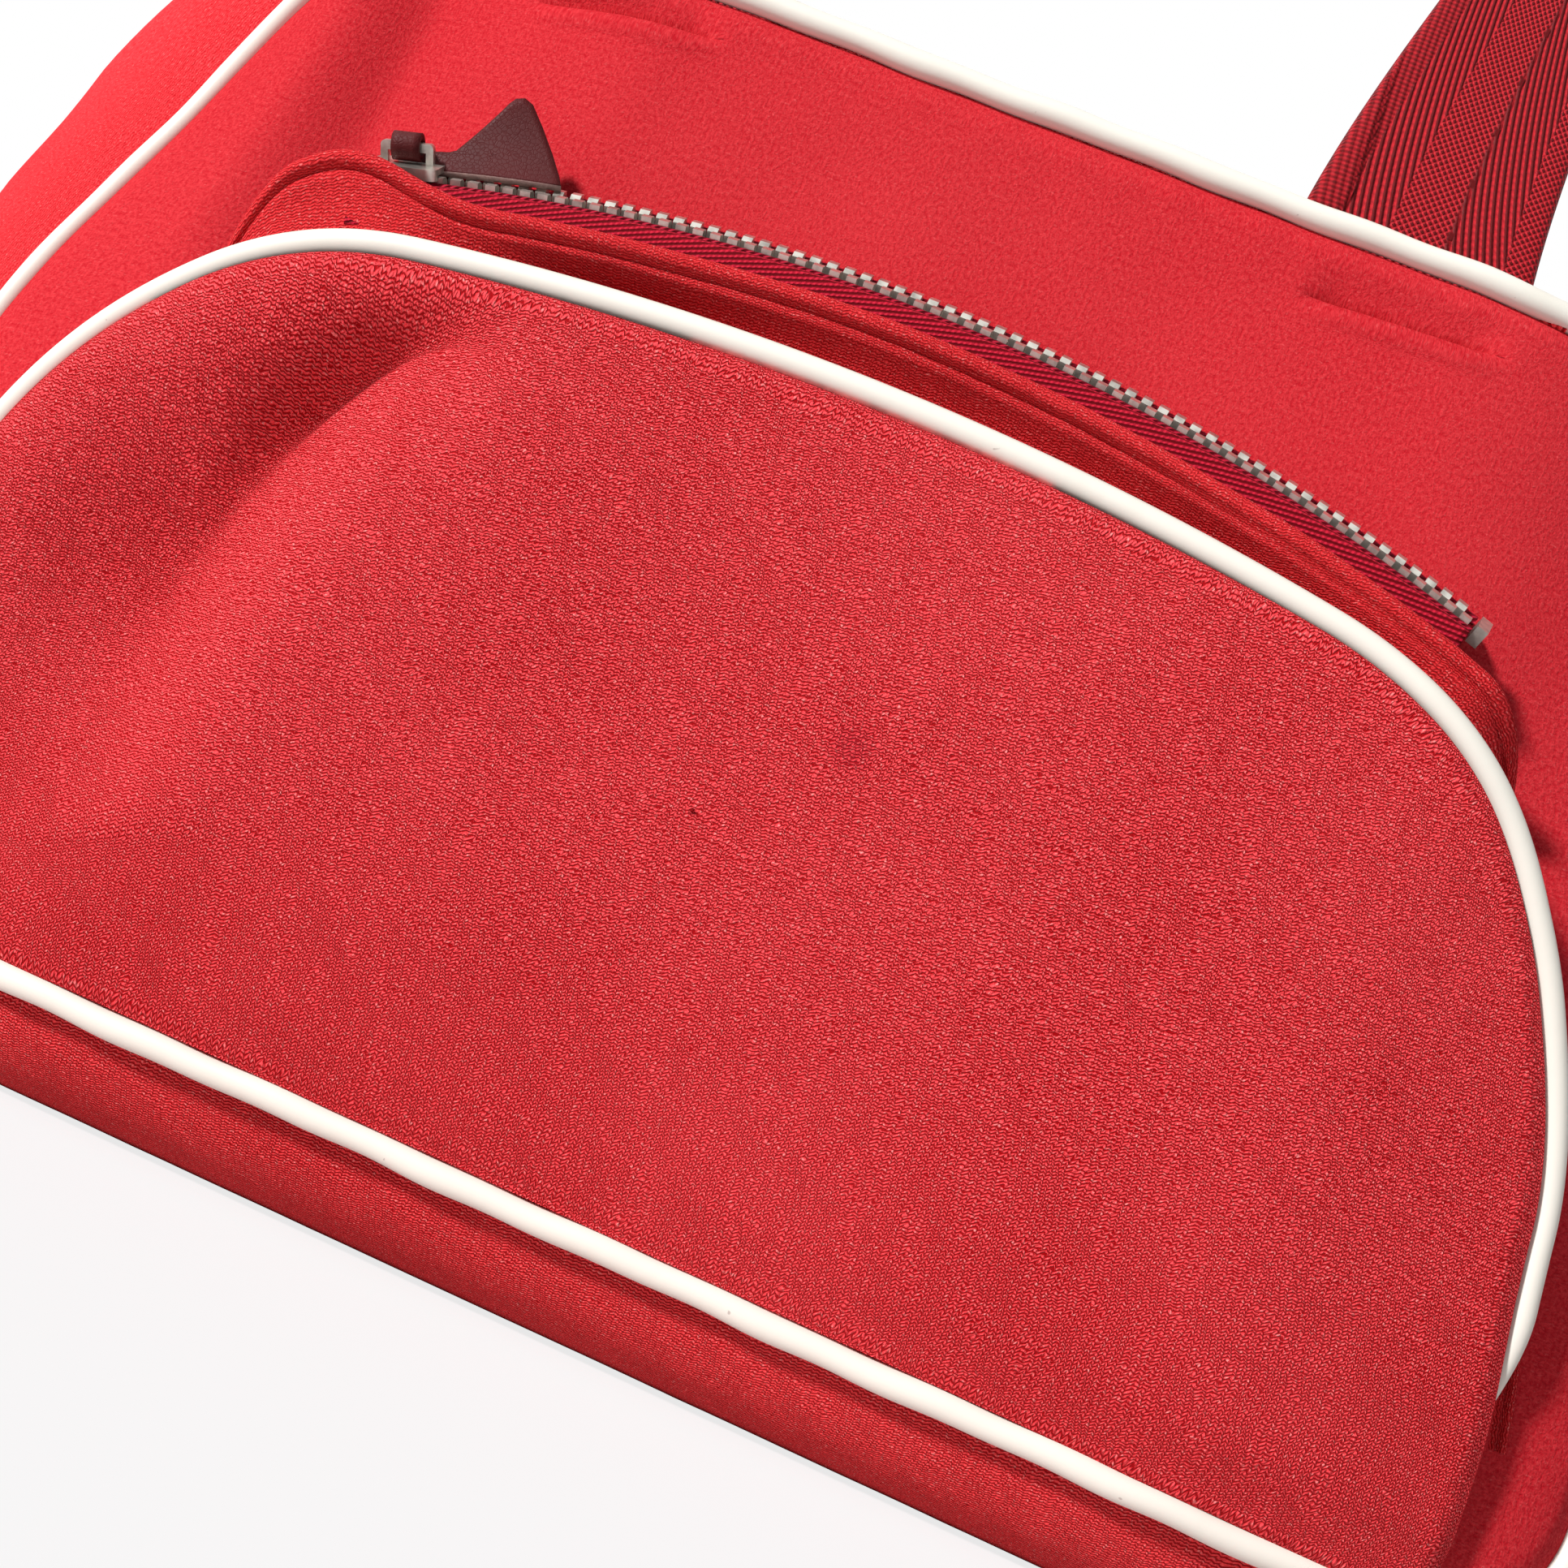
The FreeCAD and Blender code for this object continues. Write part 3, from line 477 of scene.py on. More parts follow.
class Look:
    """A finish, built of shader nodes."""

    def __init__(self, name, **uniform):
        self.finish = bpy.data.materials.new(name)
        self.finish.use_nodes = True
        self.tree = self.finish.node_tree
        self.shader = self.tree.nodes["Principled BSDF"]
        for socket, value in uniform.items():
            self.shader.inputs[socket.replace("_", " ")].default_value = value

    def node(self, kind, values, **settings):
        node = self.tree.nodes.new(kind)
        for key, value in settings.items():
            setattr(node, key, value)
        for key, value in values.items():
            if isinstance(value, Wire):
                self.tree.links.new(value.socket, node.inputs[key])
            else:
                node.inputs[key].default_value = value
        return node

    def sum(self, operation, *values):
        node = self.node("ShaderNodeMath", dict(enumerate(values)), operation=operation)
        return Wire(self, node.outputs[0])

    def chart(self):
        """Where a point lies on the flat cloth: two numbers in millimetres."""
        place = self.node("ShaderNodeUVMap", {}, uv_map="cloth")
        parts = self.node("ShaderNodeSeparateXYZ", {0: Wire(self, place.outputs["UV"])})
        return Wire(self, parts.outputs[0]), Wire(self, parts.outputs[1])

    def place(self):
        """Where a point is in space, in metres."""
        return Wire(self, self.node("ShaderNodeTexCoord", {}).outputs["Object"])

    def stretched(self, place, *scale):
        node = self.node("ShaderNodeVectorMath", {0: place, 1: scale}, operation="MULTIPLY")
        return Wire(self, node.outputs[0])

    def joined(self, x, y, z=0.0):
        return Wire(self, self.node("ShaderNodeCombineXYZ", {0: x, 1: y, 2: z}).outputs[0])

    def cloud(self, place, scale, detail=3.0, roughness=0.5):
        """Soft random blotches, 0 to 1; scale is in blotches to the metre or millimetre of place."""
        node = self.node("ShaderNodeTexNoise", {"Vector": place, "Scale": scale, "Detail": detail,
                                                "Roughness": roughness})
        return Wire(self, node.outputs[0])

    def spot(self, place, radius):
        """1 in the middle of a round mark at a place across and up the bag, fading out by its radius."""
        flat = self.stretched(self.place(), 1000.0, 0.0, 1000.0)
        node = self.node("ShaderNodeVectorMath", {0: flat, 1: (place[0], 0.0, place[1])},
                         operation="DISTANCE")
        return 1.0 - Wire(self, node.outputs["Value"]).rise(0.0, radius)

    def blend(self, share, first, second):
        node = self.node("ShaderNodeMix", {0: share, 6: first, 7: second}, data_type="RGBA")
        return Wire(self, node.outputs[2])

    def paint(self, colour=None, roughness=None, height=None, strength=1.0, depth=0.001):
        """Joins what changes over the surface to the shader, and gives the material."""
        if colour is not None:
            self.tree.links.new(colour.socket, self.shader.inputs["Base Color"])
        if roughness is not None:
            self.tree.links.new(roughness.socket, self.shader.inputs["Roughness"])
        if height is not None:
            bump = self.node("ShaderNodeBump", {"Height": height, "Strength": strength, "Distance": depth})
            self.tree.links.new(bump.outputs["Normal"], self.shader.inputs["Normal"])
        return self.finish


def colour(red, green, blue):
    """A colour given as it looks on a screen, 0 to 255."""
    shares = [part / 255 for part in (red, green, blue)]
    linear = [s / 12.92 if s <= 0.04 else ((s + 0.055) / 1.055) ** 2.4 for s in shares]
    return (*linear, 1.0)


# ---- finishes

WALE = 0.88     # width of one column of stitches
COURSE = 0.46   # height of one row
STAIN = (14.7, 82.3)        # faint marks of wear on the pocket and its piping: across and up
SMUDGE = (83.5, 109.0)
CHIP = (71.6, 120.6)


def knit(name, lit, deep, brushed, crinkle, marks=(), calm=None):
    """Bonded knit: rows of small V stitches, crinkled by wear, or nearly lost under a brushed nap.

    Calm gives the heights between which clear columns of stitches turn into crinkled rows.
    """
    look = Look(name, Roughness=0.95, Specular_IOR_Level=0.05)
    u, v = look.chart()
    cloth = look.joined(u, v)
    drift = look.cloud(cloth, 0.16, 2.0) - 0.5
    crimp = look.cloud(look.stretched(cloth, 0.8, 1.2, 1.0), 1.25, 2.0, 0.6) - 0.5
    leg = abs(((u + drift * 3.0 + crimp * 0.8) / WALE).part() - 0.5) * 2.0
    loose = v.rise(*calm) * 0.7 + 0.3 if calm else 1.0
    row = (v + leg * (0.42 - loose * 0.22) + crimp * (loose * crinkle) + drift * 2.0) / COURSE
    yarn = row.wave().rise(0.05, 0.75)
    bridge = 1.0 - abs(leg * 2.0 - 1.0)
    stitch = yarn * (loose * 0.3 + 0.25 + bridge * (0.75 - loose * 0.3))
    nap = look.cloud(look.stretched(cloth, 1.3, 0.8, 1.0), 1.7, 4.0, 0.7).rise(0.25, 0.75)
    height = stitch * (1.0 - brushed) + nap * brushed
    # Painted highlights: small pale pink specks on the raised yarn.
    painted_glint = look.cloud(cloth, 2.2, 1.0).rise(0.55, 0.75) * stitch * (1.0 - brushed)
    wear = look.cloud(look.place(), 26.0, 4.0)
    # Painted shade: the colour darkens in the gaps between stitches and under the nap, with real random
    # wear tone on top.
    shade = (0.12 + height * 0.88 + (wear - 0.5) * 0.3).rise(0.0, 1.0)
    tone = look.blend(shade, deep, lit)
    tone = look.blend(painted_glint * 0.6, tone, colour(255, 176, 170))
    for place, radius, share in marks:
        tone = look.blend(look.spot(place, radius) * share, tone, colour(150, 22, 38))
    return look.paint(tone, height=height, strength=0.85 - 0.45 * brushed, depth=0.00034)


def piping_skin():
    """Off-white plastic skin of the piping, with faint grime and tiny specks."""
    look = Look("piping_skin", Roughness=0.38, Specular_IOR_Level=0.35)
    place = look.place()
    grime = look.cloud(place, 60.0, 4.0).rise(0.55, 0.85)
    specks = look.cloud(place, 520.0, 2.0).rise(0.75, 0.78)
    tone = look.blend(grime * 0.3, colour(226, 222, 211), colour(206, 198, 182))
    tone = look.blend(specks * 0.5, tone, colour(140, 115, 108))
    tone = look.blend(look.spot(CHIP, 0.55), tone, colour(96, 44, 44))
    return look.paint(tone, height=look.cloud(place, 700.0, 2.0), strength=0.06, depth=0.0003)


def webbing():
    """Handle webbing: bands of upright ribs and of dotted mesh, sewn down along one line."""
    look = Look("handle_webbing", Roughness=0.6, Specular_IOR_Level=0.15)
    u, v = look.chart()
    fray = look.cloud(look.joined(u, v), 1.6, 3.0, 0.6) - 0.5
    lean = (u + v * 0.27 + fray * 0.15) / 1.1
    tick = ((v + lean.whole() * 0.55) / 1.15).wave()
    ribs = lean.wave().rise(0.1, 0.8) * (0.62 + tick * 0.38)
    one = ((u + v + fray * 0.2) / 1.15).wave()
    two = ((u - v) / 1.15).wave()
    mesh = (one.rise(0.2, 0.7) * 0.65).most(two.rise(0.35, 0.8) * 0.5) + one * two * 0.35
    fold = (v / 0.7).wave()
    first = u.rise(11.8, 12.4) * (1.0 - u.rise(20.2, 20.8))
    last = u.rise(28.8, 29.4)
    edge = 1.0 - u.rise(4.8, 5.3)
    dotted = first.most(last)
    height = ribs * (1.0 - dotted) + mesh * dotted
    height = height * (1.0 - edge * 0.6) + fold * edge * 0.45
    hole = (1.0 - abs(u - 20.6).rise(0.25, 0.6)) * (1.0 - abs((v / 9.0).part() - 0.5).rise(0.05, 0.09))
    seam = 1.0 - abs(u - 20.6).rise(0.2, 0.7)
    height = height * (1.0 - seam * 0.5) * (1.0 - hole)
    # Painted shade: the colour darkens in the grooves between ribs and mesh, along the seam and in its
    # needle holes, with a random fray tone.
    shade = height + fray * 0.35
    tone = look.blend(shade.rise(0.0, 1.0), colour(88, 0, 4), colour(190, 34, 44))
    return look.paint(tone, height=height, strength=1.0, depth=0.0004)


def tape_weave():
    """Zip tape: crimson, its threads slanting gently along it, with painted highlights on them and painted
    shade between.
    """
    look = Look("zip_tape_weave", Roughness=0.7, Specular_IOR_Level=0.08)
    u, v = look.chart()
    fray = look.cloud(look.joined(u, v), 2.0, 3.0, 0.6) - 0.5
    slant = ((v * 0.34 + u + fray * 0.25) / 0.85).wave()
    height = slant.rise(0.1, 0.8) * (0.6 + (v / 0.7).wave() * 0.4)
    # Painted light: brighter on the raised threads, darker in the grooves between them.
    tone = look.blend((height + fray * 0.4).rise(0.0, 1.0), colour(92, 0, 8), colour(196, 30, 54))
    return look.paint(tone, height=height, strength=0.9, depth=0.0003)


def cord_weave():
    """The corded edge of the tape under the teeth: a row of small round loops."""
    look = Look("zip_cord_weave", Roughness=0.7, Specular_IOR_Level=0.1)
    u, v = look.chart()
    bead = ((v + u * 0.4) / 1.2).wave()
    # Painted shade: darker between the loops, brighter on them.
    tone = look.blend(bead.rise(0.05, 0.6), colour(84, 0, 10), colour(178, 26, 52))
    return look.paint(tone, height=bead, strength=1.0, depth=0.0005)


def zip_metal():
    """Silver plating, a little dulled."""
    look = Look("zip_metal", Metallic=1.0)
    place = look.place()
    dull = look.cloud(place, 400.0, 3.0)
    tone = look.blend(dull.rise(0.3, 0.8), colour(226, 222, 212), colour(150, 145, 138))
    return look.paint(tone, roughness=0.26 + dull * 0.22, height=dull, strength=0.1, depth=0.0002)


def tab_leather():
    """Dark maroon leather with a fine grain."""
    look = Look("tab_leather", Specular_IOR_Level=0.2)
    place = look.place()
    grain = look.node("ShaderNodeTexVoronoi", {"Vector": place, "Scale": 1700.0},
                      feature="DISTANCE_TO_EDGE")
    creases = Wire(look, grain.outputs["Distance"]).rise(0.0, 0.12)
    tone = look.blend(look.cloud(place, 160.0, 3.0), colour(60, 4, 6), colour(78, 8, 10))
    return look.paint(tone, roughness=0.68 - creases * 0.12, height=creases, strength=0.35, depth=0.0001)


def cut_edge():
    """The raw edge of the leather: grey-pink and fibrous."""
    look = Look("cut_leather_edge", Roughness=0.9)
    fibre = look.cloud(look.place(), 2500.0, 4.0, 0.7)
    return look.paint(look.blend(fibre, colour(130, 92, 90), colour(206, 172, 164)),
                      height=fibre, strength=0.5, depth=0.0002)


def stiffener_board():
    look = Look("stiffener_board", Roughness=0.7)
    speck = look.cloud(look.place(), 700.0, 3.0)
    return look.paint(look.blend(speck, colour(40, 38, 38), colour(62, 60, 58)), height=speck,
                      strength=0.2, depth=0.0002)


def needle_hole_shade():
    """Painted shade inside a hole left by the needle: a dark red finish."""
    look = Look("needle_hole_shade", Roughness=1.0)
    return look.paint(look.blend(look.cloud(look.place(), 900.0), colour(52, 0, 6), colour(84, 4, 12)))


# The second colour of each knit is its painted shade in the gaps between the stitches.
KNIT_BODY = knit("body_knit", colour(207, 54, 60), colour(174, 16, 30), 0.85, 0.5)
KNIT_SIDE = knit("side_knit", colour(242, 68, 74), colour(190, 14, 26), 0.6, 0.4)
KNIT_POCKET = knit("pocket_knit", colour(255, 78, 84), colour(146, 0, 6), 0.0, 0.95,
                   ((STAIN, 4.5, 0.45), (SMUDGE, 1.6, 0.3)), (SEAM_Z + 4.0, SEAM_Z + 46.0))
KNIT_BASE = knit("base_knit", colour(250, 74, 78), colour(150, 0, 8), 0.0, 0.4)
KNIT_STRIP = knit("strip_knit", colour(228, 58, 62), colour(150, 4, 12), 0.3, 0.45)
PIPING = piping_skin()
WEBBING = webbing()
ZIP_TAPE = tape_weave()
ZIP_CORD = cord_weave()
METAL = zip_metal()
LEATHER = tab_leather()
CUT_EDGE = cut_edge()
BOARD = stiffener_board()
HOLE_SHADE = needle_hole_shade()


# ---- panels

def rings(count, dense):
    """Shares from the middle to the edge, closer together near the edge."""
    share = np.linspace(0, 1, count)
    return (1 - (1 - share) ** dense)[1:]


def disc(name, edge, middle, shares, depth, chart_of, settle=np.copy):
    """A cloth face filling a closed edge; depth gives how far forward each place stands."""
    flat = middle + (edge.points[None] - middle) * shares[:, None, None]
    flat = np.concatenate([np.broadcast_to(middle, (1, len(edge.points), 2)), flat])
    margin = np.hypot(*(edge.points[None] - flat).transpose(2, 0, 1))
    forward = depth(flat[..., 0], flat[..., 1], margin)
    points = np.stack([flat[..., 0], MIDDLE_Y - forward, flat[..., 1]], -1)
    return net(name, settle(points), chart_of(flat[..., 0], flat[..., 1]), closed=True)


def body_chart(x, z):
    return np.stack([plan_length(x), z], -1)


def strap_ends(x, z):
    """Where the handle's sewn ends stop, the panel is drawn in along a crisp line."""
    drawn = np.zeros_like(x)
    for side in (-1, 1):
        line = DIMPLE_Z - side * 1.0 + (x - side * HANDLE_X) * 0.07
        across = smooth(DIMPLE_HALF - np.abs(x - side * (HANDLE_X + 1.5)), -1.0, 6.0)
        above = z - line
        groove = np.exp(-above ** 2) * DIMPLE_GROOVE
        hollow = smooth(above, -0.5, 0.6) * (1 - smooth(above, 0.6, 7.5)) * DIMPLE_HOLLOW
        lip = np.exp(-((above + 1.8) / 1.4) ** 2) * DIMPLE_LIP
        drawn += across * (lip - groove - hollow)
    return drawn


def front_depth(x, z, margin):
    place = upright(x, z)
    soft = ripple(place, 46.0, 1) * 0.9 + ripple(place, 17.0, 2) * 0.3
    pucker = ripple(place, 5.0, 21) * 0.35 * np.exp(-margin / 6.0)
    fold = smooth(x, -103, -87) * (1 - smooth(x, -87, -50)) * smooth(z, 96, 124) * FOLD_DEPTH
    tuck = SEAM_TUCK * (1 - smooth(margin, 0, TUCK_REACH))
    behind = SUNK_DEPTH * np.exp(-((x + 82) / 19) ** 2 - ((z - 56) / 27) ** 2)
    return (front_plan(x, z) + soft * smooth(margin, 0, 14) + pucker * smooth(margin, 0.5, 3)
            + strap_ends(x, z) - fold * smooth(margin, 2, 9) - tuck - behind)


def back_depth(x, z, margin):
    place = upright(x, z)
    soft = ripple(place, 52.0, 5) * 1.0 + ripple(place, 19.0, 6) * 0.25
    tuck = SEAM_TUCK * (1 - smooth(margin, 0, TUCK_REACH))
    return -(plan_depth(x) + soft * smooth(margin, 0, 14) + strap_ends(x, z) - tuck)


def panel(side, step, rows, depth):
    """The front's or the back's cloth, from its middle out to the piping's seam."""
    middle = np.array([0.0, (SEAM_Z + TOP_Z) / 2])
    piece = disc(side + "_panel_cloth", panel_edge(step), middle, rings(rows, 1.7), depth,
                 body_chart, spread)
    if side == "back":
        piece.data.flip_normals()
    thicken(piece, PANEL_CLOTH)
    return dress(piece, KNIT_BODY, "knit", "bag", side + "_panel")


def main_piping(side):
    """The piping round a panel's seam, with the slight waver of a sewn cord."""
    edge = panel_edge(1.2)
    flat = edge.out(PIPE_OUT + 0.12 * np.sin(edge.along * 0.13) + 0.08 * np.sin(edge.along * 0.41))
    plan = front_plan(flat[:, 0], flat[:, 1]) if side == "front" else plan_depth(flat[:, 0])
    path = np.stack([flat[:, 0], MIDDLE_Y + WAY[side] * (plan + PIPE_FORWARD), flat[:, 1]], -1)
    width = PIPE_RADIUS + 0.06 * np.sin(edge.along * 0.29)
    piece = tube(side + "_piping_cord", spread(path), width, closed=True)
    return dress(piece, PIPING, "piping", "bag", side + "_piping")


# ---- gusset

def swell_rim(depth, swell, flat, steps):
    """Half the gusset's section, from the seam to its middle: how far out and how far along."""
    turn = np.linspace(0, math.pi / 2, steps)[None, :]
    out = swell[:, None] * np.sin(turn)
    along = flat[:, None] + (depth - flat)[:, None] * np.cos(turn)
    middle = np.linspace(1, 0, 8)[1:][None, :]
    out = np.concatenate([out, np.repeat(swell[:, None], 7, 1)], 1)
    along = np.concatenate([along, flat[:, None] * middle], 1)
    return out, along


def gusset(node, start, end, look, seed):
    """A length of the knit gusset between two places on the panel's seam."""
    edge = panel_edge(1.6)
    chosen = (edge.along >= start - 0.8) & (edge.along <= end + 0.8)
    point, normal, distance = edge.points[chosen], edge.normals[chosen], edge.along[chosen]
    side = normal[:, 0] ** 2        # 1 beside the panel, 0 above and below it
    above = normal[:, 1] > 0
    swell = SIDE_SWELL * side + np.where(above, TOP_SWELL, BASE_SWELL) * (1 - side)
    flat = SIDE_FLAT * side + np.where(above, TOP_FLAT, BASE_FLAT) * (1 - side)
    out, along = swell_rim(front_plan(point[:, 0], point[:, 1]) - PANEL_CLOTH, swell, flat, 26)
    back = swell_rim(plan_depth(point[:, 0]) - PANEL_CLOTH, swell, flat, 26)[1]
    out = np.concatenate([out, out[:, ::-1][:, 1:]], 1)
    along = np.concatenate([-along, back[:, ::-1][:, 1:]], 1)
    across = travelled(out, along)
    place = np.stack([point[:, :1] + normal[:, :1] * out, along, point[:, 1:] + normal[:, 1:] * out], -1)
    inland = smooth(out / swell[:, None], 0.02, 0.5)
    fold = ripple(place, 34.0, seed) * 1.5 * side[:, None] + ripple(place, 13.0, seed + 1) * 0.35
    pucker = 0.22 * np.sin(distance * 1.45 + seed)[:, None] * np.exp(-out / 3.5) * smooth(out, 0.2, 1.5)
    lift = fold * inland * (0.25 + 0.75 * side[:, None]) + pucker
    out = out - np.abs(lift) * 0.8
    points = np.stack([point[:, :1] + normal[:, :1] * out, MIDDLE_Y + along,
                       point[:, 1:] + normal[:, 1:] * out], -1)
    piece = net(node + "_cloth", spread(points), charted(distance[:, None], across))
    thicken(piece, GUSSET_CLOTH)
    return dress(piece, look, "knit", "bag", node)


def seam_places():
    """Distances along the panel's seam at which its corners end, from the top's right end."""
    upper = TOP_CORNER * math.radians(SIDE_ANGLE)
    side = np.hypot(*(polar(UPPER, TOP_CORNER, SIDE_ANGLE) - polar(LOWER, BASE_CORNER, SIDE_ANGLE)))
    lower = BASE_CORNER * math.radians(180 - SIDE_ANGLE)
    base = 2 * LOWER[0]
    return np.cumsum([0, upper + side + lower, base, upper + side + lower])


def top_strip(side):
    """The knit strip beside the mouth, turned under along the zip."""
    half = UPPER[0]
    columns = np.linspace(-half, half, 110)
    depth = np.full(1, HALF_DEPTH - PANEL_CLOTH)
    out, along = swell_rim(depth, np.full(1, TOP_SWELL), np.full(1, TOP_FLAT), 20)
    out, along = out[0, :19], along[0, :19]
    out = np.append(out, [TOP_SWELL, TOP_SWELL, TOP_SWELL - 0.6, TOP_SWELL - 1.4])
    along = np.append(along, [TOP_FLAT, SLOT_HALF + 0.8, SLOT_HALF, SLOT_HALF + 0.6])
    across = length_along(np.stack([out, along], 1))
    x, o = np.meshgrid(columns, out, indexing="ij")
    under = smooth(STRAP_WIDTH / 2 - np.abs(np.abs(x) - HANDLE_X), -2.5, 0.0)
    behind = np.minimum(along, STRAP_DEPTH - STRAP_THICK / 2 - 1.0)
    along = along * (1 - under) + behind * under
    place = np.stack([x, along, o], -1)
    lift = ripple(place, 24.0, 8) * 0.4 * smooth(o, 1, 8)
    stitch = 0.35 * np.exp(-((along - SLOT_HALF - 3.2) / 0.7) ** 2)
    points = np.stack([x, MIDDLE_Y + WAY[side] * along, TOP_Z + o - np.abs(lift) - stitch], -1)
    piece = net("top_strip_" + side + "_cloth", points, charted(x, across))
    if side == "front":
        piece.data.flip_normals()
    thicken(piece, TOP_CLOTH)
    return dress(piece, KNIT_BASE, "knit", "bag", "top_strip_" + side)


# ---- pocket

def pocket_gap(z):
    return (z - SEAM_Z) * POCKET_WEDGE


def face_dent(x, z, margin):
    """The pocket's upper left corner has sunk in, in a valley that follows its edge."""
    strength = smooth(-x, 40, 78) * (0.25 + 0.75 * smooth(z, 26, 78))
    reach = DENT_REACH[0] + (DENT_REACH[1] - DENT_REACH[0]) * smooth(-x, 52, 82)
    bottom = reach * 1.35
    fall = smooth(margin, reach * 0.2, bottom)
    climb = smooth(margin, bottom, bottom + DENT_CLIMB)
    return DENT_DEPTH * strength * fall * (1 - climb)


def face_depth(x, z, margin):
    place = upright(x, z)
    soft = ripple(place, 60.0, 11) * 1.3 + ripple(place, 20.0, 12) * 0.35
    bulge = POCKET_BULGE * smooth(margin, 0, 40)
    turned = POCKET_FOOT_TURN * (1 - smooth(z, SEAM_Z, SEAM_Z + 10))
    turned = np.minimum(turned + POCKET_RIM_TURN * (1 - smooth(margin, 0, 3.5)), POCKET_TURN_MOST)
    return (settled_plan(x, z) + pocket_gap(z) + POCKET_FACE_OUT + bulge - turned
            - face_dent(x, z, margin) + soft * smooth(margin, 0, 22))


def pocket_face():
    edge = pocket_edge(0.9)
    middle = np.array([0.0, SEAM_Z + POCKET_HEIGHT * 0.48])
    piece = disc("pocket_face_cloth", edge, middle, rings(120, 1.6), face_depth, body_chart,
                 pocket_settle)
    thicken(piece, GUSSET_CLOTH)
    return dress(piece, KNIT_POCKET, "knit", "bag", "pocket_face")


def pocket_piping():
    """The pocket's piping; at its two feet it slips behind the face."""
    edge = Edge(pocket_stretches(PIPING_FOOT), 1.0)
    total = edge.along[-1]
    foot = smooth(-np.minimum(edge.along, total - edge.along), -PIPING_TAPER, 0.0)
    flat = edge.out(PIPE_OUT - PIPING_FOOT_IN * foot)
    depth = settled_plan(flat[:, 0], flat[:, 1]) + pocket_gap(flat[:, 1]) + POCKET_PIPE_SEAT
    depth = depth - PIPING_FOOT_BACK * foot
    path = pocket_settle(np.stack([flat[:, 0], MIDDLE_Y - depth, flat[:, 1]], -1))
    piece = tube("pocket_piping_cord", path, PIPE_RADIUS * (1 - 0.8 * foot))
    return dress(piece, PIPING, "piping", "bag", "pocket_piping")


def chain_reach(points, normals):
    """Distance from places on the pocket's edge, along their normals, to the chain's line."""
    away = points - ZIP_CENTRE
    half = (away * normals).sum(1)
    return np.sqrt(half ** 2 - (away ** 2).sum(1) + ZIP_RADIUS ** 2) - half


def cover(points):
    """At the chain's left end the strip's edge stands higher and covers the slider."""
    turn = np.degrees(np.arctan2(points[:, 0], points[:, 1] - ZIP_CENTRE[1]))
    return COVER_RISE * np.exp(-((turn + SLIDER_REST + 1.4) / COVER_HALF) ** 2)


def pocket_strip():
    """The knit strip from the piping to the zip: it sags a little, creases and turns over in a roll."""
    edge = Edge(pocket_stretches(POCKET_FOOT), 0.9)
    turn = np.abs(np.degrees(np.arctan2(edge.normals[:, 0], edge.normals[:, 1])))
    arch = smooth(-turn, -STRIP_DROP[1], -STRIP_DROP[0])     # 1 over the arch, 0 at the feet
    low_depth = STRIP_THICK + 0.6
    under = pocket_gap(edge.points[:, 1]) + POCKET_PIPE_SEAT - PIPE_RADIUS + 0.3
    inner = np.maximum(low_depth, under)
    # its outer edge follows the chain over the arch and the piping at the feet
    reach = chain_reach(edge.points, edge.normals) - STRIP_BELOW_CHAIN
    reach = STRIP_FOOT_WIDTH + (reach - STRIP_FOOT_WIDTH) * arch
    reach = reach + (STRIP_RAISED + cover(edge.points)) * arch
    front = low_depth + (ZIP_STAND + STRIP_FORWARD - low_depth) * arch
    roll = ROLL_RADIUS * (0.45 + 0.55 * arch)
    start = reach - roll * 1.9 - 0.5
    # from the piping it climbs to the roll, hollowed by its sag
    share = np.linspace(0, 1, 12)[None, :]
    out = STRIP_INSET + (start - STRIP_INSET)[:, None] * share
    sunk = smooth(edge.points[:, 0], -66, -34) * (1 - smooth(edge.points[:, 0], 44, 78))
    hollow = 4 * STRIP_SAG * share * (1 - share)
    hollow = hollow + STRIP_HOLLOW * sunk[:, None] * 2.6 * np.sqrt(share) * (1 - share)
    depth = inner[:, None] + (front - inner)[:, None] * share - hollow
    # there it creases, and turns over towards the front and down again
    turns = np.radians(np.linspace(-75, 170, 12))[None, :]
    crease = np.stack([start + 0.3, front - roll], 1)
    out = np.concatenate([out, crease[:, :1], reach[:, None] - roll[:, None] * (0.75 - np.sin(turns))], 1)
    depth = np.concatenate([depth, crease[:, 1:], front[:, None] + roll[:, None] * np.cos(turns)], 1)
    across = travelled(out, depth)
    x = edge.points[:, :1] + edge.normals[:, :1] * out
    z = edge.points[:, 1:] + edge.normals[:, 1:] * out
    place = upright(x, z)
    wave = ripple(place, 22.0, 31) * 0.5 + ripple(place, 7.0, 32) * 0.18
    points = np.stack([x, MIDDLE_Y - settled_plan(x, z) - depth - wave * smooth(out, 1, 4), z], -1)
    piece = net("pocket_strip_cloth", pocket_settle(points), charted(edge.along[:, None], across))
    thicken(piece, 0.8)
    return dress(piece, KNIT_STRIP, "knit", "bag", "pocket_strip")


def beside_pocket(height, clear, side):
    """How far across the bag a place lies that is this clear of the pocket's side."""
    foot = pocket_stretches(0.0)[-1][2]
    return foot[0] - (height - SEAM_Z) * math.tan(math.radians(POCKET_FLARE)) + clear + (side > 0) * 2.0


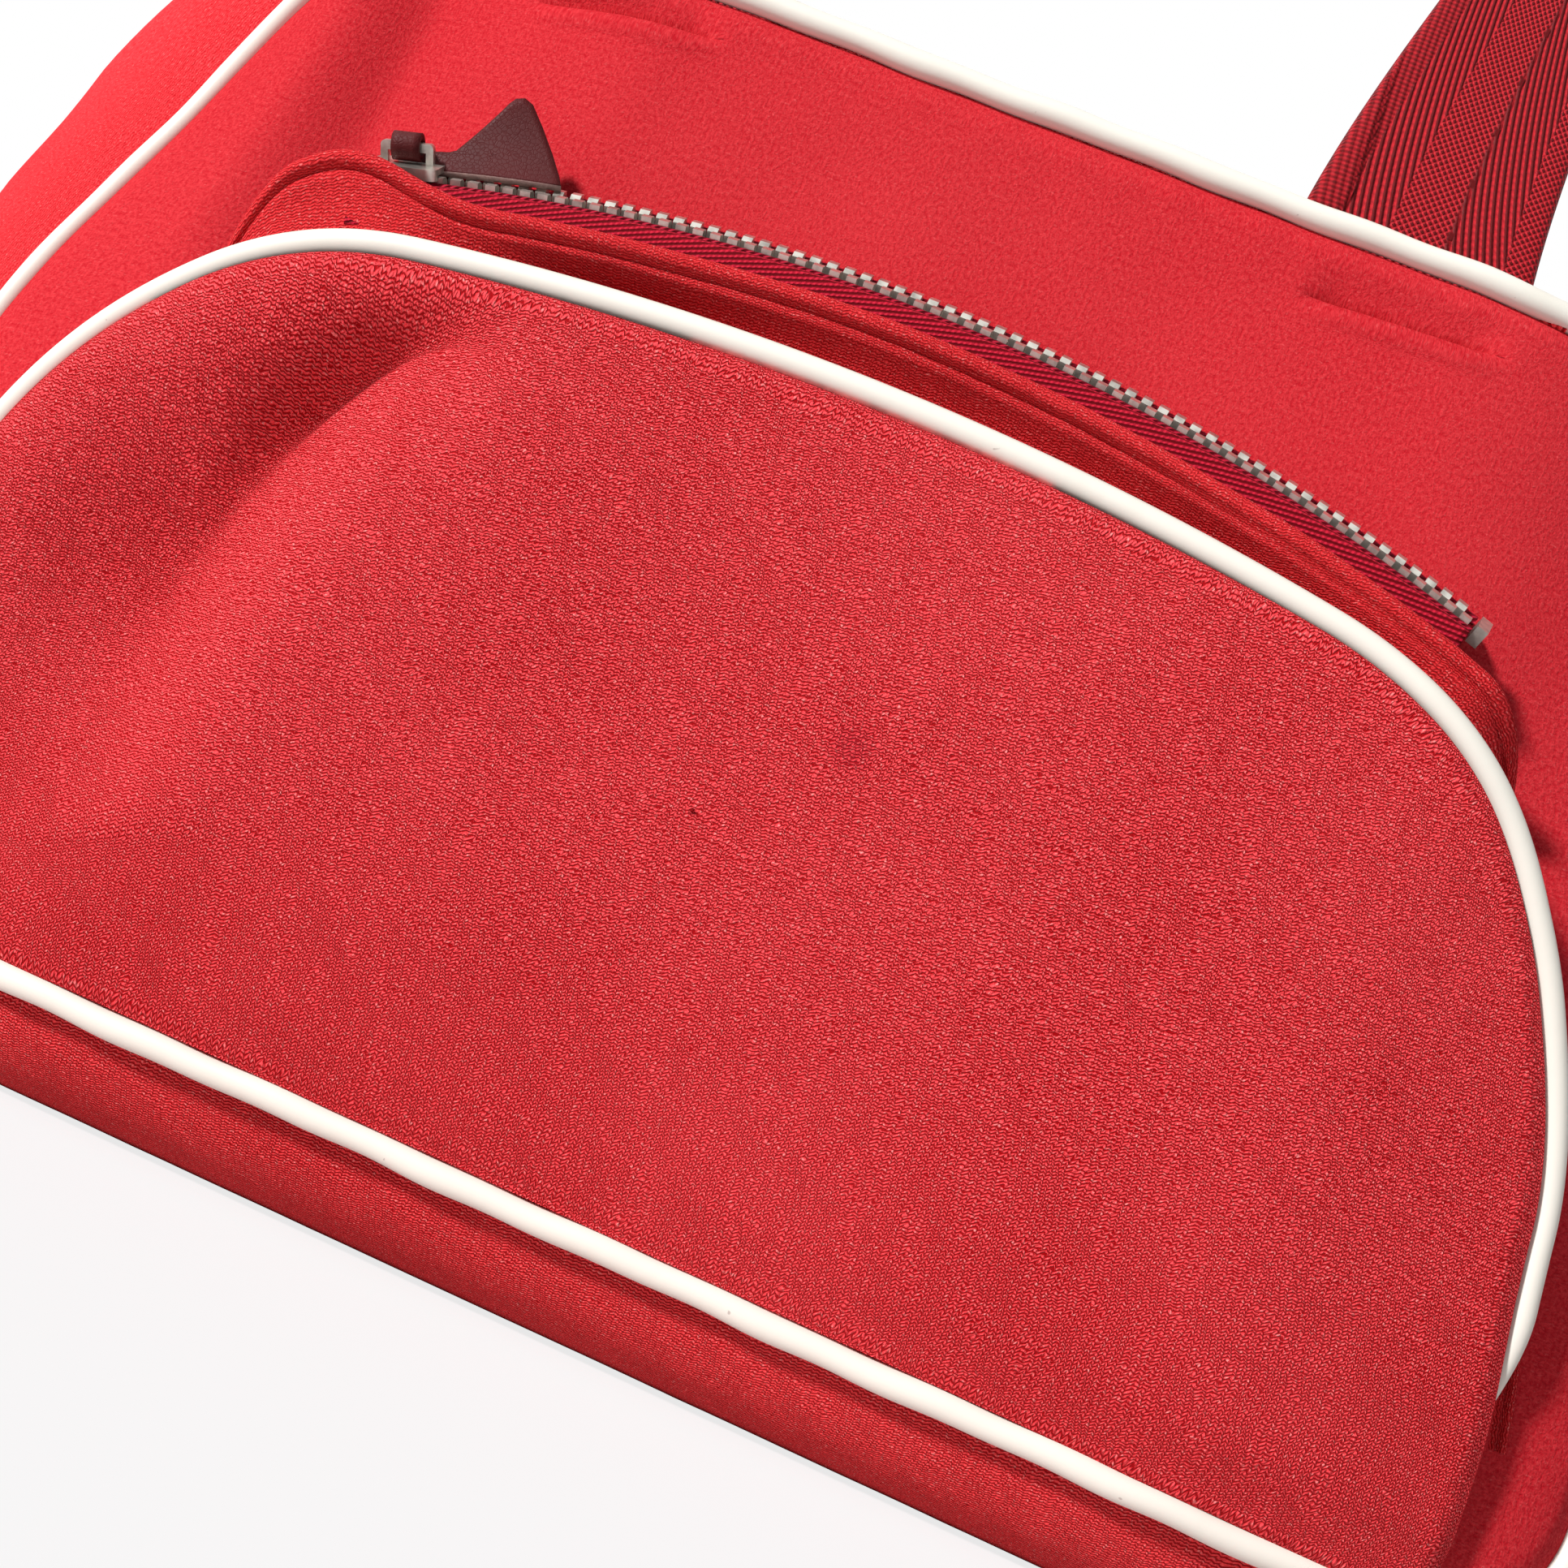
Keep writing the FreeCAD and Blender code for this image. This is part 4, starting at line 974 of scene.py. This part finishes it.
def pocket_corner(side):
    """Beside the pocket's foot the seam's allowance shows as a small roll, with four needle holes."""
    height = np.linspace(SEAM_Z + 2, 33.0, 26)
    across = beside_pocket(height, 3.4, side)
    plan = settled_plan(side * across, height)
    place = np.stack([side * across, MIDDLE_Y - plan - 1.0, height], -1)
    ends = np.sin(np.linspace(0.15, np.pi - 0.15, len(place))) ** 0.5
    name = "right" if side > 0 else "left"
    dress(tube("pocket_corner_roll_" + name, place, 0.75 * ends), KNIT_STRIP, "knit", "bag")
    turn = np.linspace(0, 2 * np.pi, 12, endpoint=False)
    for number, height in enumerate(NEEDLE_HOLES):
        across = beside_pocket(height, 2.6 if side > 0 else 2.4, side)
        depth = settled_plan(np.array([side * across]), np.array([height]))[0] + 1.2
        rim = np.stack([side * (across + 0.32 * np.cos(turn)),
                        np.full(12, MIDDLE_Y - depth - 0.12), height + 0.42 * np.sin(turn)], -1)
        bed = rim.mean(0) + (rim - rim.mean(0)) * 0.4 + [0, 0.35, 0]
        points = np.concatenate([rim, bed])
        # each hole is a small cup in a dark red finish: painted shade inside the hole
        hole = make_mesh("needle_hole_%s_%d" % (name, number), points, net_faces(2, 12, True),
                         points[:, [0, 2]])
        thicken(hole, 0.15)
        dress(hole, HOLE_SHADE, "knit", "bag")


# ---- zips

def slanted(angle):
    """A direction in a cross-section of the chain: back, and out from its arc."""
    return np.array([math.cos(math.radians(angle)), math.sin(math.radians(angle))])


def along_chain(offsets, step=1.0):
    """Carries the points of a cross-section, back and out, along the chain's arc."""
    count = int(ZIP_RADIUS * math.radians(ZIP_LEFT + ZIP_RIGHT) / step)
    turns = np.linspace(-ZIP_LEFT, ZIP_RIGHT, count)
    radius = ZIP_RADIUS + offsets[None, :, 1]
    flat = polar(ZIP_CENTRE, radius, turns[:, None])
    back = np.broadcast_to(offsets[None, :, 0], radius.repeat(count, 0).shape)
    points = np.stack([flat[..., 0], MIDDLE_Y - HALF_DEPTH - ZIP_STAND + back, flat[..., 1]], -1)
    return points, ZIP_RADIUS * np.radians(turns)


def tape(name, points, chart, path):
    """A zip tape, with the corded edge that carries its teeth along a path."""
    piece = net(name + "_cloth", points, chart)
    thicken(piece, TAPE_THICK, 0.0)
    dress(piece, ZIP_TAPE, "zip_tape", "bag", name)
    return dress(tube(name + "_cord", path, CORD_RADIUS, 14), ZIP_CORD, "zip_tape", "bag")


def pocket_tape(name, way, bend, length):
    """A tape of the pocket's zip; past its straight part it bends and runs on for a length."""
    level = slanted(ZIP_TILT) * way
    onward = slanted(bend) * way
    first = np.linspace(TOOTH_ROOT, TAPE_STRAIGHT, 5)[:, None] * level
    rest = first[-1] + np.linspace(0, length, 12)[1:, None] * onward
    section = np.concatenate([first, rest])
    points, along = along_chain(section)
    seat = slanted(ZIP_TILT) * way * (TOOTH_ROOT + CORD_OUT)
    path = along_chain(seat[None])[0][:, 0]
    return tape(name, points, charted(length_along(section)[None, :], along[:, None]), path)


def top_tape(name, way):
    half = UPPER[0] - 0.3
    x, y = np.meshgrid(np.linspace(-half, half, 160), np.linspace(TOOTH_ROOT, TOP_TAPE_HALF, 14),
                       indexing="ij")
    points = np.stack([x, MIDDLE_Y + way * y, np.full_like(x, TOP_CHAIN_Z)], -1)
    path = points[:, 0] + [0, way * CORD_OUT, 0]
    return tape(name, points, np.stack([y, x], -1), path)


def turned(points, centre, angle, first, second):
    """Points turned about a centre from one axis towards another."""
    cos, sin = np.cos(np.radians(angle)), np.sin(np.radians(angle))
    a, b = points[..., first] - centre[0], points[..., second] - centre[1]
    points = points.copy()
    points[..., first] = centre[0] + a * cos - b * sin
    points[..., second] = centre[1] + a * sin + b * cos
    return points


def on_pocket_zip(points):
    points = turned(points, (0, BRIDGE_RISE), -45.0, 1, 2)
    points = turned(points, (0, 0), ZIP_TILT, 1, 2)
    points = points + [0, MIDDLE_Y - HALF_DEPTH - ZIP_STAND, ZIP_CENTRE[1] + ZIP_RADIUS]
    return turned(points, ZIP_CENTRE, SLIDER_REST, 0, 2)


def on_top_zip(points):
    points = turned(points, (0, BRIDGE_RISE), 105.0, 1, 2)
    return points + [TOP_SLIDER_X, MIDDLE_Y, TOP_CHAIN_Z]


def tab_outline():
    """The leather's outline round its middle: a lopsided plectrum with a tongue for the loop."""
    corners = np.array([(-1.8, -0.6), (-1.8, 1.0), (4.2, 1.0), (6.0, 1.7), (12.2, 9.2), (13.0, 9.9),
                        (14.2, 10.1), (15.4, 9.4), (17.2, 6.4), (19.0, 2.9), (20.4, -0.3), (20.9, -1.9),
                        (3.2, -1.9), (1.6, -0.6)])
    ahead = np.roll(corners, -1, 0)
    share = np.linspace(0, 1, 8, endpoint=False)[None, :, None]
    return (corners[:, None] * (1 - share) + ahead[:, None] * share).reshape(-1, 2)


def leather_tab(node, body, put):
    """A zip's pull tab: one leaf of leather with pale cut edges, held by a loop round the slider."""
    rim = tab_outline()
    middle = np.array([11.0, 1.4])
    shares = np.linspace(0, 1, 10)[:, None, None]
    flat = middle + (rim[None] - middle) * shares
    bow = 0.35 * ((flat[..., 0] - 11.0) / 9.0) ** 2 - 0.02 * flat[..., 1] ** 2
    leaf = np.stack([flat[..., 0], LEAF_BACK + bow, BRIDGE_RISE + flat[..., 1]], -1)
    piece = net(node + "_leaf", put(leaf), flat, closed=True)
    piece.data.materials.append(LEATHER)
    piece.data.materials.append(CUT_EDGE)
    thicken(piece, LEAF_THICK, 0.0).modifiers["thickness"].material_offset_rim = 1
    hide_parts(node)
    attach(piece, body)
    turn, width = np.meshgrid(np.linspace(0, 2 * np.pi, 28, endpoint=False),
                              np.linspace(-LOOP_WIDTH / 2, LOOP_WIDTH / 2, 5), indexing="ij")
    ring = np.stack([width, LOOP_RADIUS * np.sin(turn), BRIDGE_RISE + LOOP_RADIUS * np.cos(turn)], -1)
    loop = net(node + "_loop", put(ring.transpose(1, 0, 2)),
               np.stack([turn * LOOP_RADIUS, width], -1).transpose(1, 0, 2), closed=True)
    thicken(loop, LOOP_WALL, 0.0)
    return dress(loop, LEATHER, "tab_leather", body)


# ---- handles

def handle_line():
    """The loop's middle line from its right foot over the top to its left foot, across and up."""
    height = np.concatenate([np.arange(TAIL_FOOT, SHOULDER_Z, 1.4), [SHOULDER_Z]])
    leg = np.stack([HANDLE_X + HANDLE_SPREAD * smooth(height, BEND_Z, SHOULDER_Z), height], -1)
    inside = HANDLE_X + HANDLE_SPREAD - HANDLE_ARCH
    arch = polar((inside, SHOULDER_Z), HANDLE_ARCH, np.linspace(90, 0, 44)[1:])
    grip = np.stack([np.linspace(inside, 0, 10)[1:], np.full(9, SHOULDER_Z + HANDLE_ARCH)], -1)
    half = np.concatenate([leg, arch, grip])
    return np.concatenate([half, (half * MIRROR)[::-1][1:]])


def handle(side):
    """One webbing handle with its sewn ends; its legs are gathered narrower towards the grip."""
    name = side + "_handle"
    way = WAY[side]
    line = handle_line()
    ahead = np.gradient(line, axis=0)
    ahead /= np.hypot(*ahead.T)[:, None]
    inward = np.stack([-ahead[:, 1], ahead[:, 0]], -1)
    height = line[:, 1]
    gather = np.clip((height - BEND_Z - 1.5) / 66.0, 0, 1)
    width = STRAP_WIDTH + (GRIP_WIDTH - STRAP_WIDTH) * gather
    thick = STRAP_THICK + (GRIP_THICK - STRAP_THICK) * smooth(height, BEND_Z, SHOULDER_Z)
    # across the front face and back along the rear one
    share = np.concatenate([np.linspace(0, 1, 64), np.linspace(1, 0, 22)[1:-1]])
    face = np.concatenate([np.full(64, -1.0), np.full(20, 1.0)])
    rounded = np.sqrt(np.maximum(1 - np.abs(share * 2 - 1) ** 14, 0))
    # near the foot the gathered webbing lies double along one edge
    layer = 5.4 * (1 - smooth(height, BEND_Z, BEND_Z + 34))
    overlap = (share[None, :] * STRAP_WIDTH < layer[:, None]) * (face < 0) * 0.85 * rounded
    deep = face * rounded * thick[:, None] / 2 - overlap * smooth(height, TOP_Z + 3, TOP_Z + 5)[:, None]
    flat = line[:, None] + inward[:, None] * (width[:, None] * (0.5 - share[None, :]))[..., None]
    sway = ripple(upright(flat[..., 0], flat[..., 1]), 38.0, 41) * 0.7
    sway = sway * smooth(flat[..., 1], BEND_Z, BEND_Z + 30)
    points = np.stack([flat[..., 0], -STRAP_DEPTH + deep + sway, flat[..., 1]], -1)
    if side == "back":
        lean = BACK_LEAN * smooth(points[..., 2], BEND_Z - 2.0, BEND_Z + 2.0)
        points = turned(points, (-STRAP_DEPTH, BEND_Z), lean, 1, 2)
    points[..., 1] = MIDDLE_Y - way * points[..., 1]
    chart = charted(share[None, :] * STRAP_WIDTH, length_along(line)[:, None])
    piece = net(name + "_webbing", points, chart, closed=True)
    piece.data.materials.append(WEBBING)
    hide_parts(name, name + "_tails")
    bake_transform(piece)
    return piece


# ---- building the bag

def bevelled(node, width, look):
    """Softens the edges of a metal piece and gives it its finish."""
    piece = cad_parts[node]
    piece.data.materials.clear()
    piece.data.materials.append(look)
    edges = piece.modifiers.new("softened edges", "BEVEL")
    edges.width = width * MM
    edges.segments = 4
    edges.limit_method = "ANGLE"
    return piece


def sunlight(name, towards, strength, spread):
    """A broad even light that falls along one direction."""
    lamp = bpy.data.lights.new(name, "SUN")
    lamp.energy = strength
    lamp.angle = math.radians(spread)
    holder = bpy.data.objects.new(name, lamp)
    holder.rotation_mode = "QUATERNION"
    holder.rotation_quaternion = Vector(towards).to_track_quat("-Z", "Y")
    bpy.context.scene.collection.objects.link(holder)
    return holder


def camera():
    """A close view of the pocket, from in front and a little below, with the bag aslant."""
    azimuth, elevation, roll = (math.radians(a) for a in (5.8, -11.5, 24.3))
    target = Vector((8.7, MIDDLE_Y - 75.0, 75.1))
    distance = 239.4
    back = Vector((math.sin(azimuth) * math.cos(elevation), -math.cos(azimuth) * math.cos(elevation),
                   math.sin(elevation)))
    right = Vector((math.cos(azimuth), math.sin(azimuth), 0))
    up = back.cross(right)
    across = right * math.cos(roll) + up * math.sin(roll)
    upward = up * math.cos(roll) - right * math.sin(roll)
    lens = bpy.data.cameras.new("camera")
    lens.sensor_width = 36.0
    lens.lens = 44.7205
    lens.clip_start = 0.005
    lens.clip_end = 50.0
    holder = bpy.data.objects.new("camera", lens)
    turn = Matrix((across, upward, back)).transposed().to_4x4()
    holder.matrix_world = Matrix.Translation((target + back * distance) * MM) @ turn
    bpy.context.scene.collection.objects.link(holder)
    bpy.context.scene.camera = holder


def seen_directly(look):
    """1 where a ray comes from the camera or a mirror-like bounce, and 0 for the light itself."""
    path = look.node("ShaderNodeLightPath", {})
    seen = Wire(look, path.outputs["Is Camera Ray"]).most(Wire(look, path.outputs["Is Glossy Ray"]))
    return seen.most(Wire(look, path.outputs["Is Transmission Ray"]))


def studio():
    """A pale floor under a plain white sky."""
    mesh = bpy.data.meshes.new("floor")
    mesh.from_pydata([(-6, -6, 0), (6, -6, 0), (6, 6, 0), (-6, 6, 0)], [], [(0, 1, 2, 3)])
    floor = bpy.data.objects.new("floor", mesh)
    bpy.context.scene.collection.objects.link(floor)
    floor.location.z = -0.0002
    look = Look("floor_paper", Roughness=0.9, Specular_IOR_Level=0.1)
    look.shader.inputs["Base Color"].default_value = (0.86, 0.86, 0.86, 1.0)
    glow = look.node("ShaderNodeEmission", {"Color": (1, 1, 1, 1), "Strength": 1.0})
    mix = look.node("ShaderNodeMixShader", {"Fac": seen_directly(look) * 0.8})
    look.tree.links.new(look.shader.outputs[0], mix.inputs[1])
    look.tree.links.new(glow.outputs[0], mix.inputs[2])
    look.tree.links.new(mix.outputs[0], look.tree.nodes["Material Output"].inputs["Surface"])
    mesh.materials.append(look.finish)
    sky = bpy.data.worlds.new("sky")
    sky.use_nodes = True
    bpy.context.scene.world = sky
    outside = Look.__new__(Look)
    outside.tree = sky.node_tree
    seen = seen_directly(outside)
    ground = sky.node_tree.nodes["Background"]
    tone = outside.blend(seen, (0.18, 0.18, 0.19, 1.0), (1.0, 1.0, 1.0, 1.0))
    sky.node_tree.links.new(tone.socket, ground.inputs["Color"])
    sunlight("key_light", (0.65, 0.68, -0.36), 4.7, 7.0)


panel("front", 0.8, 170, front_depth)
panel("back", 1.0, 110, back_depth)
main_piping("front")
main_piping("back")
starts = seam_places()
gusset("right_gusset", starts[0], starts[1], KNIT_SIDE, 3)
gusset("base_gusset", starts[1], starts[2], KNIT_BASE, 4)
gusset("left_gusset", starts[2], starts[3], KNIT_SIDE, 9)
top_strip("front")
top_strip("back")
pocket_face()
pocket_piping()
pocket_strip()
pocket_corner(1)
pocket_corner(-1)
pocket_tape("pocket_zip_tape_inner", -1, *TAPE_FALL)
pocket_tape("pocket_zip_tape_outer", 1, *TAPE_RISE)
top_tape("top_zip_tape_front", -1)
top_tape("top_zip_tape_back", 1)
leather_tab("pocket_zip_tab", "pocket_tab", on_pocket_zip)
leather_tab("top_zip_tab", "top_tab", on_top_zip)
handle("front")
handle("back")
for name in ("pocket_zip_teeth_inner", "pocket_zip_teeth_outer", "top_zip_teeth_front",
             "top_zip_teeth_back", "pocket_zip_stops", "top_zip_stops", "pocket_zip_slider",
             "top_zip_slider"):
    bevelled(name, 0.7, METAL)
bevelled("base_board", 0.3, BOARD)
camera()
studio()
bpy.context.scene.view_settings.view_transform = "Standard"
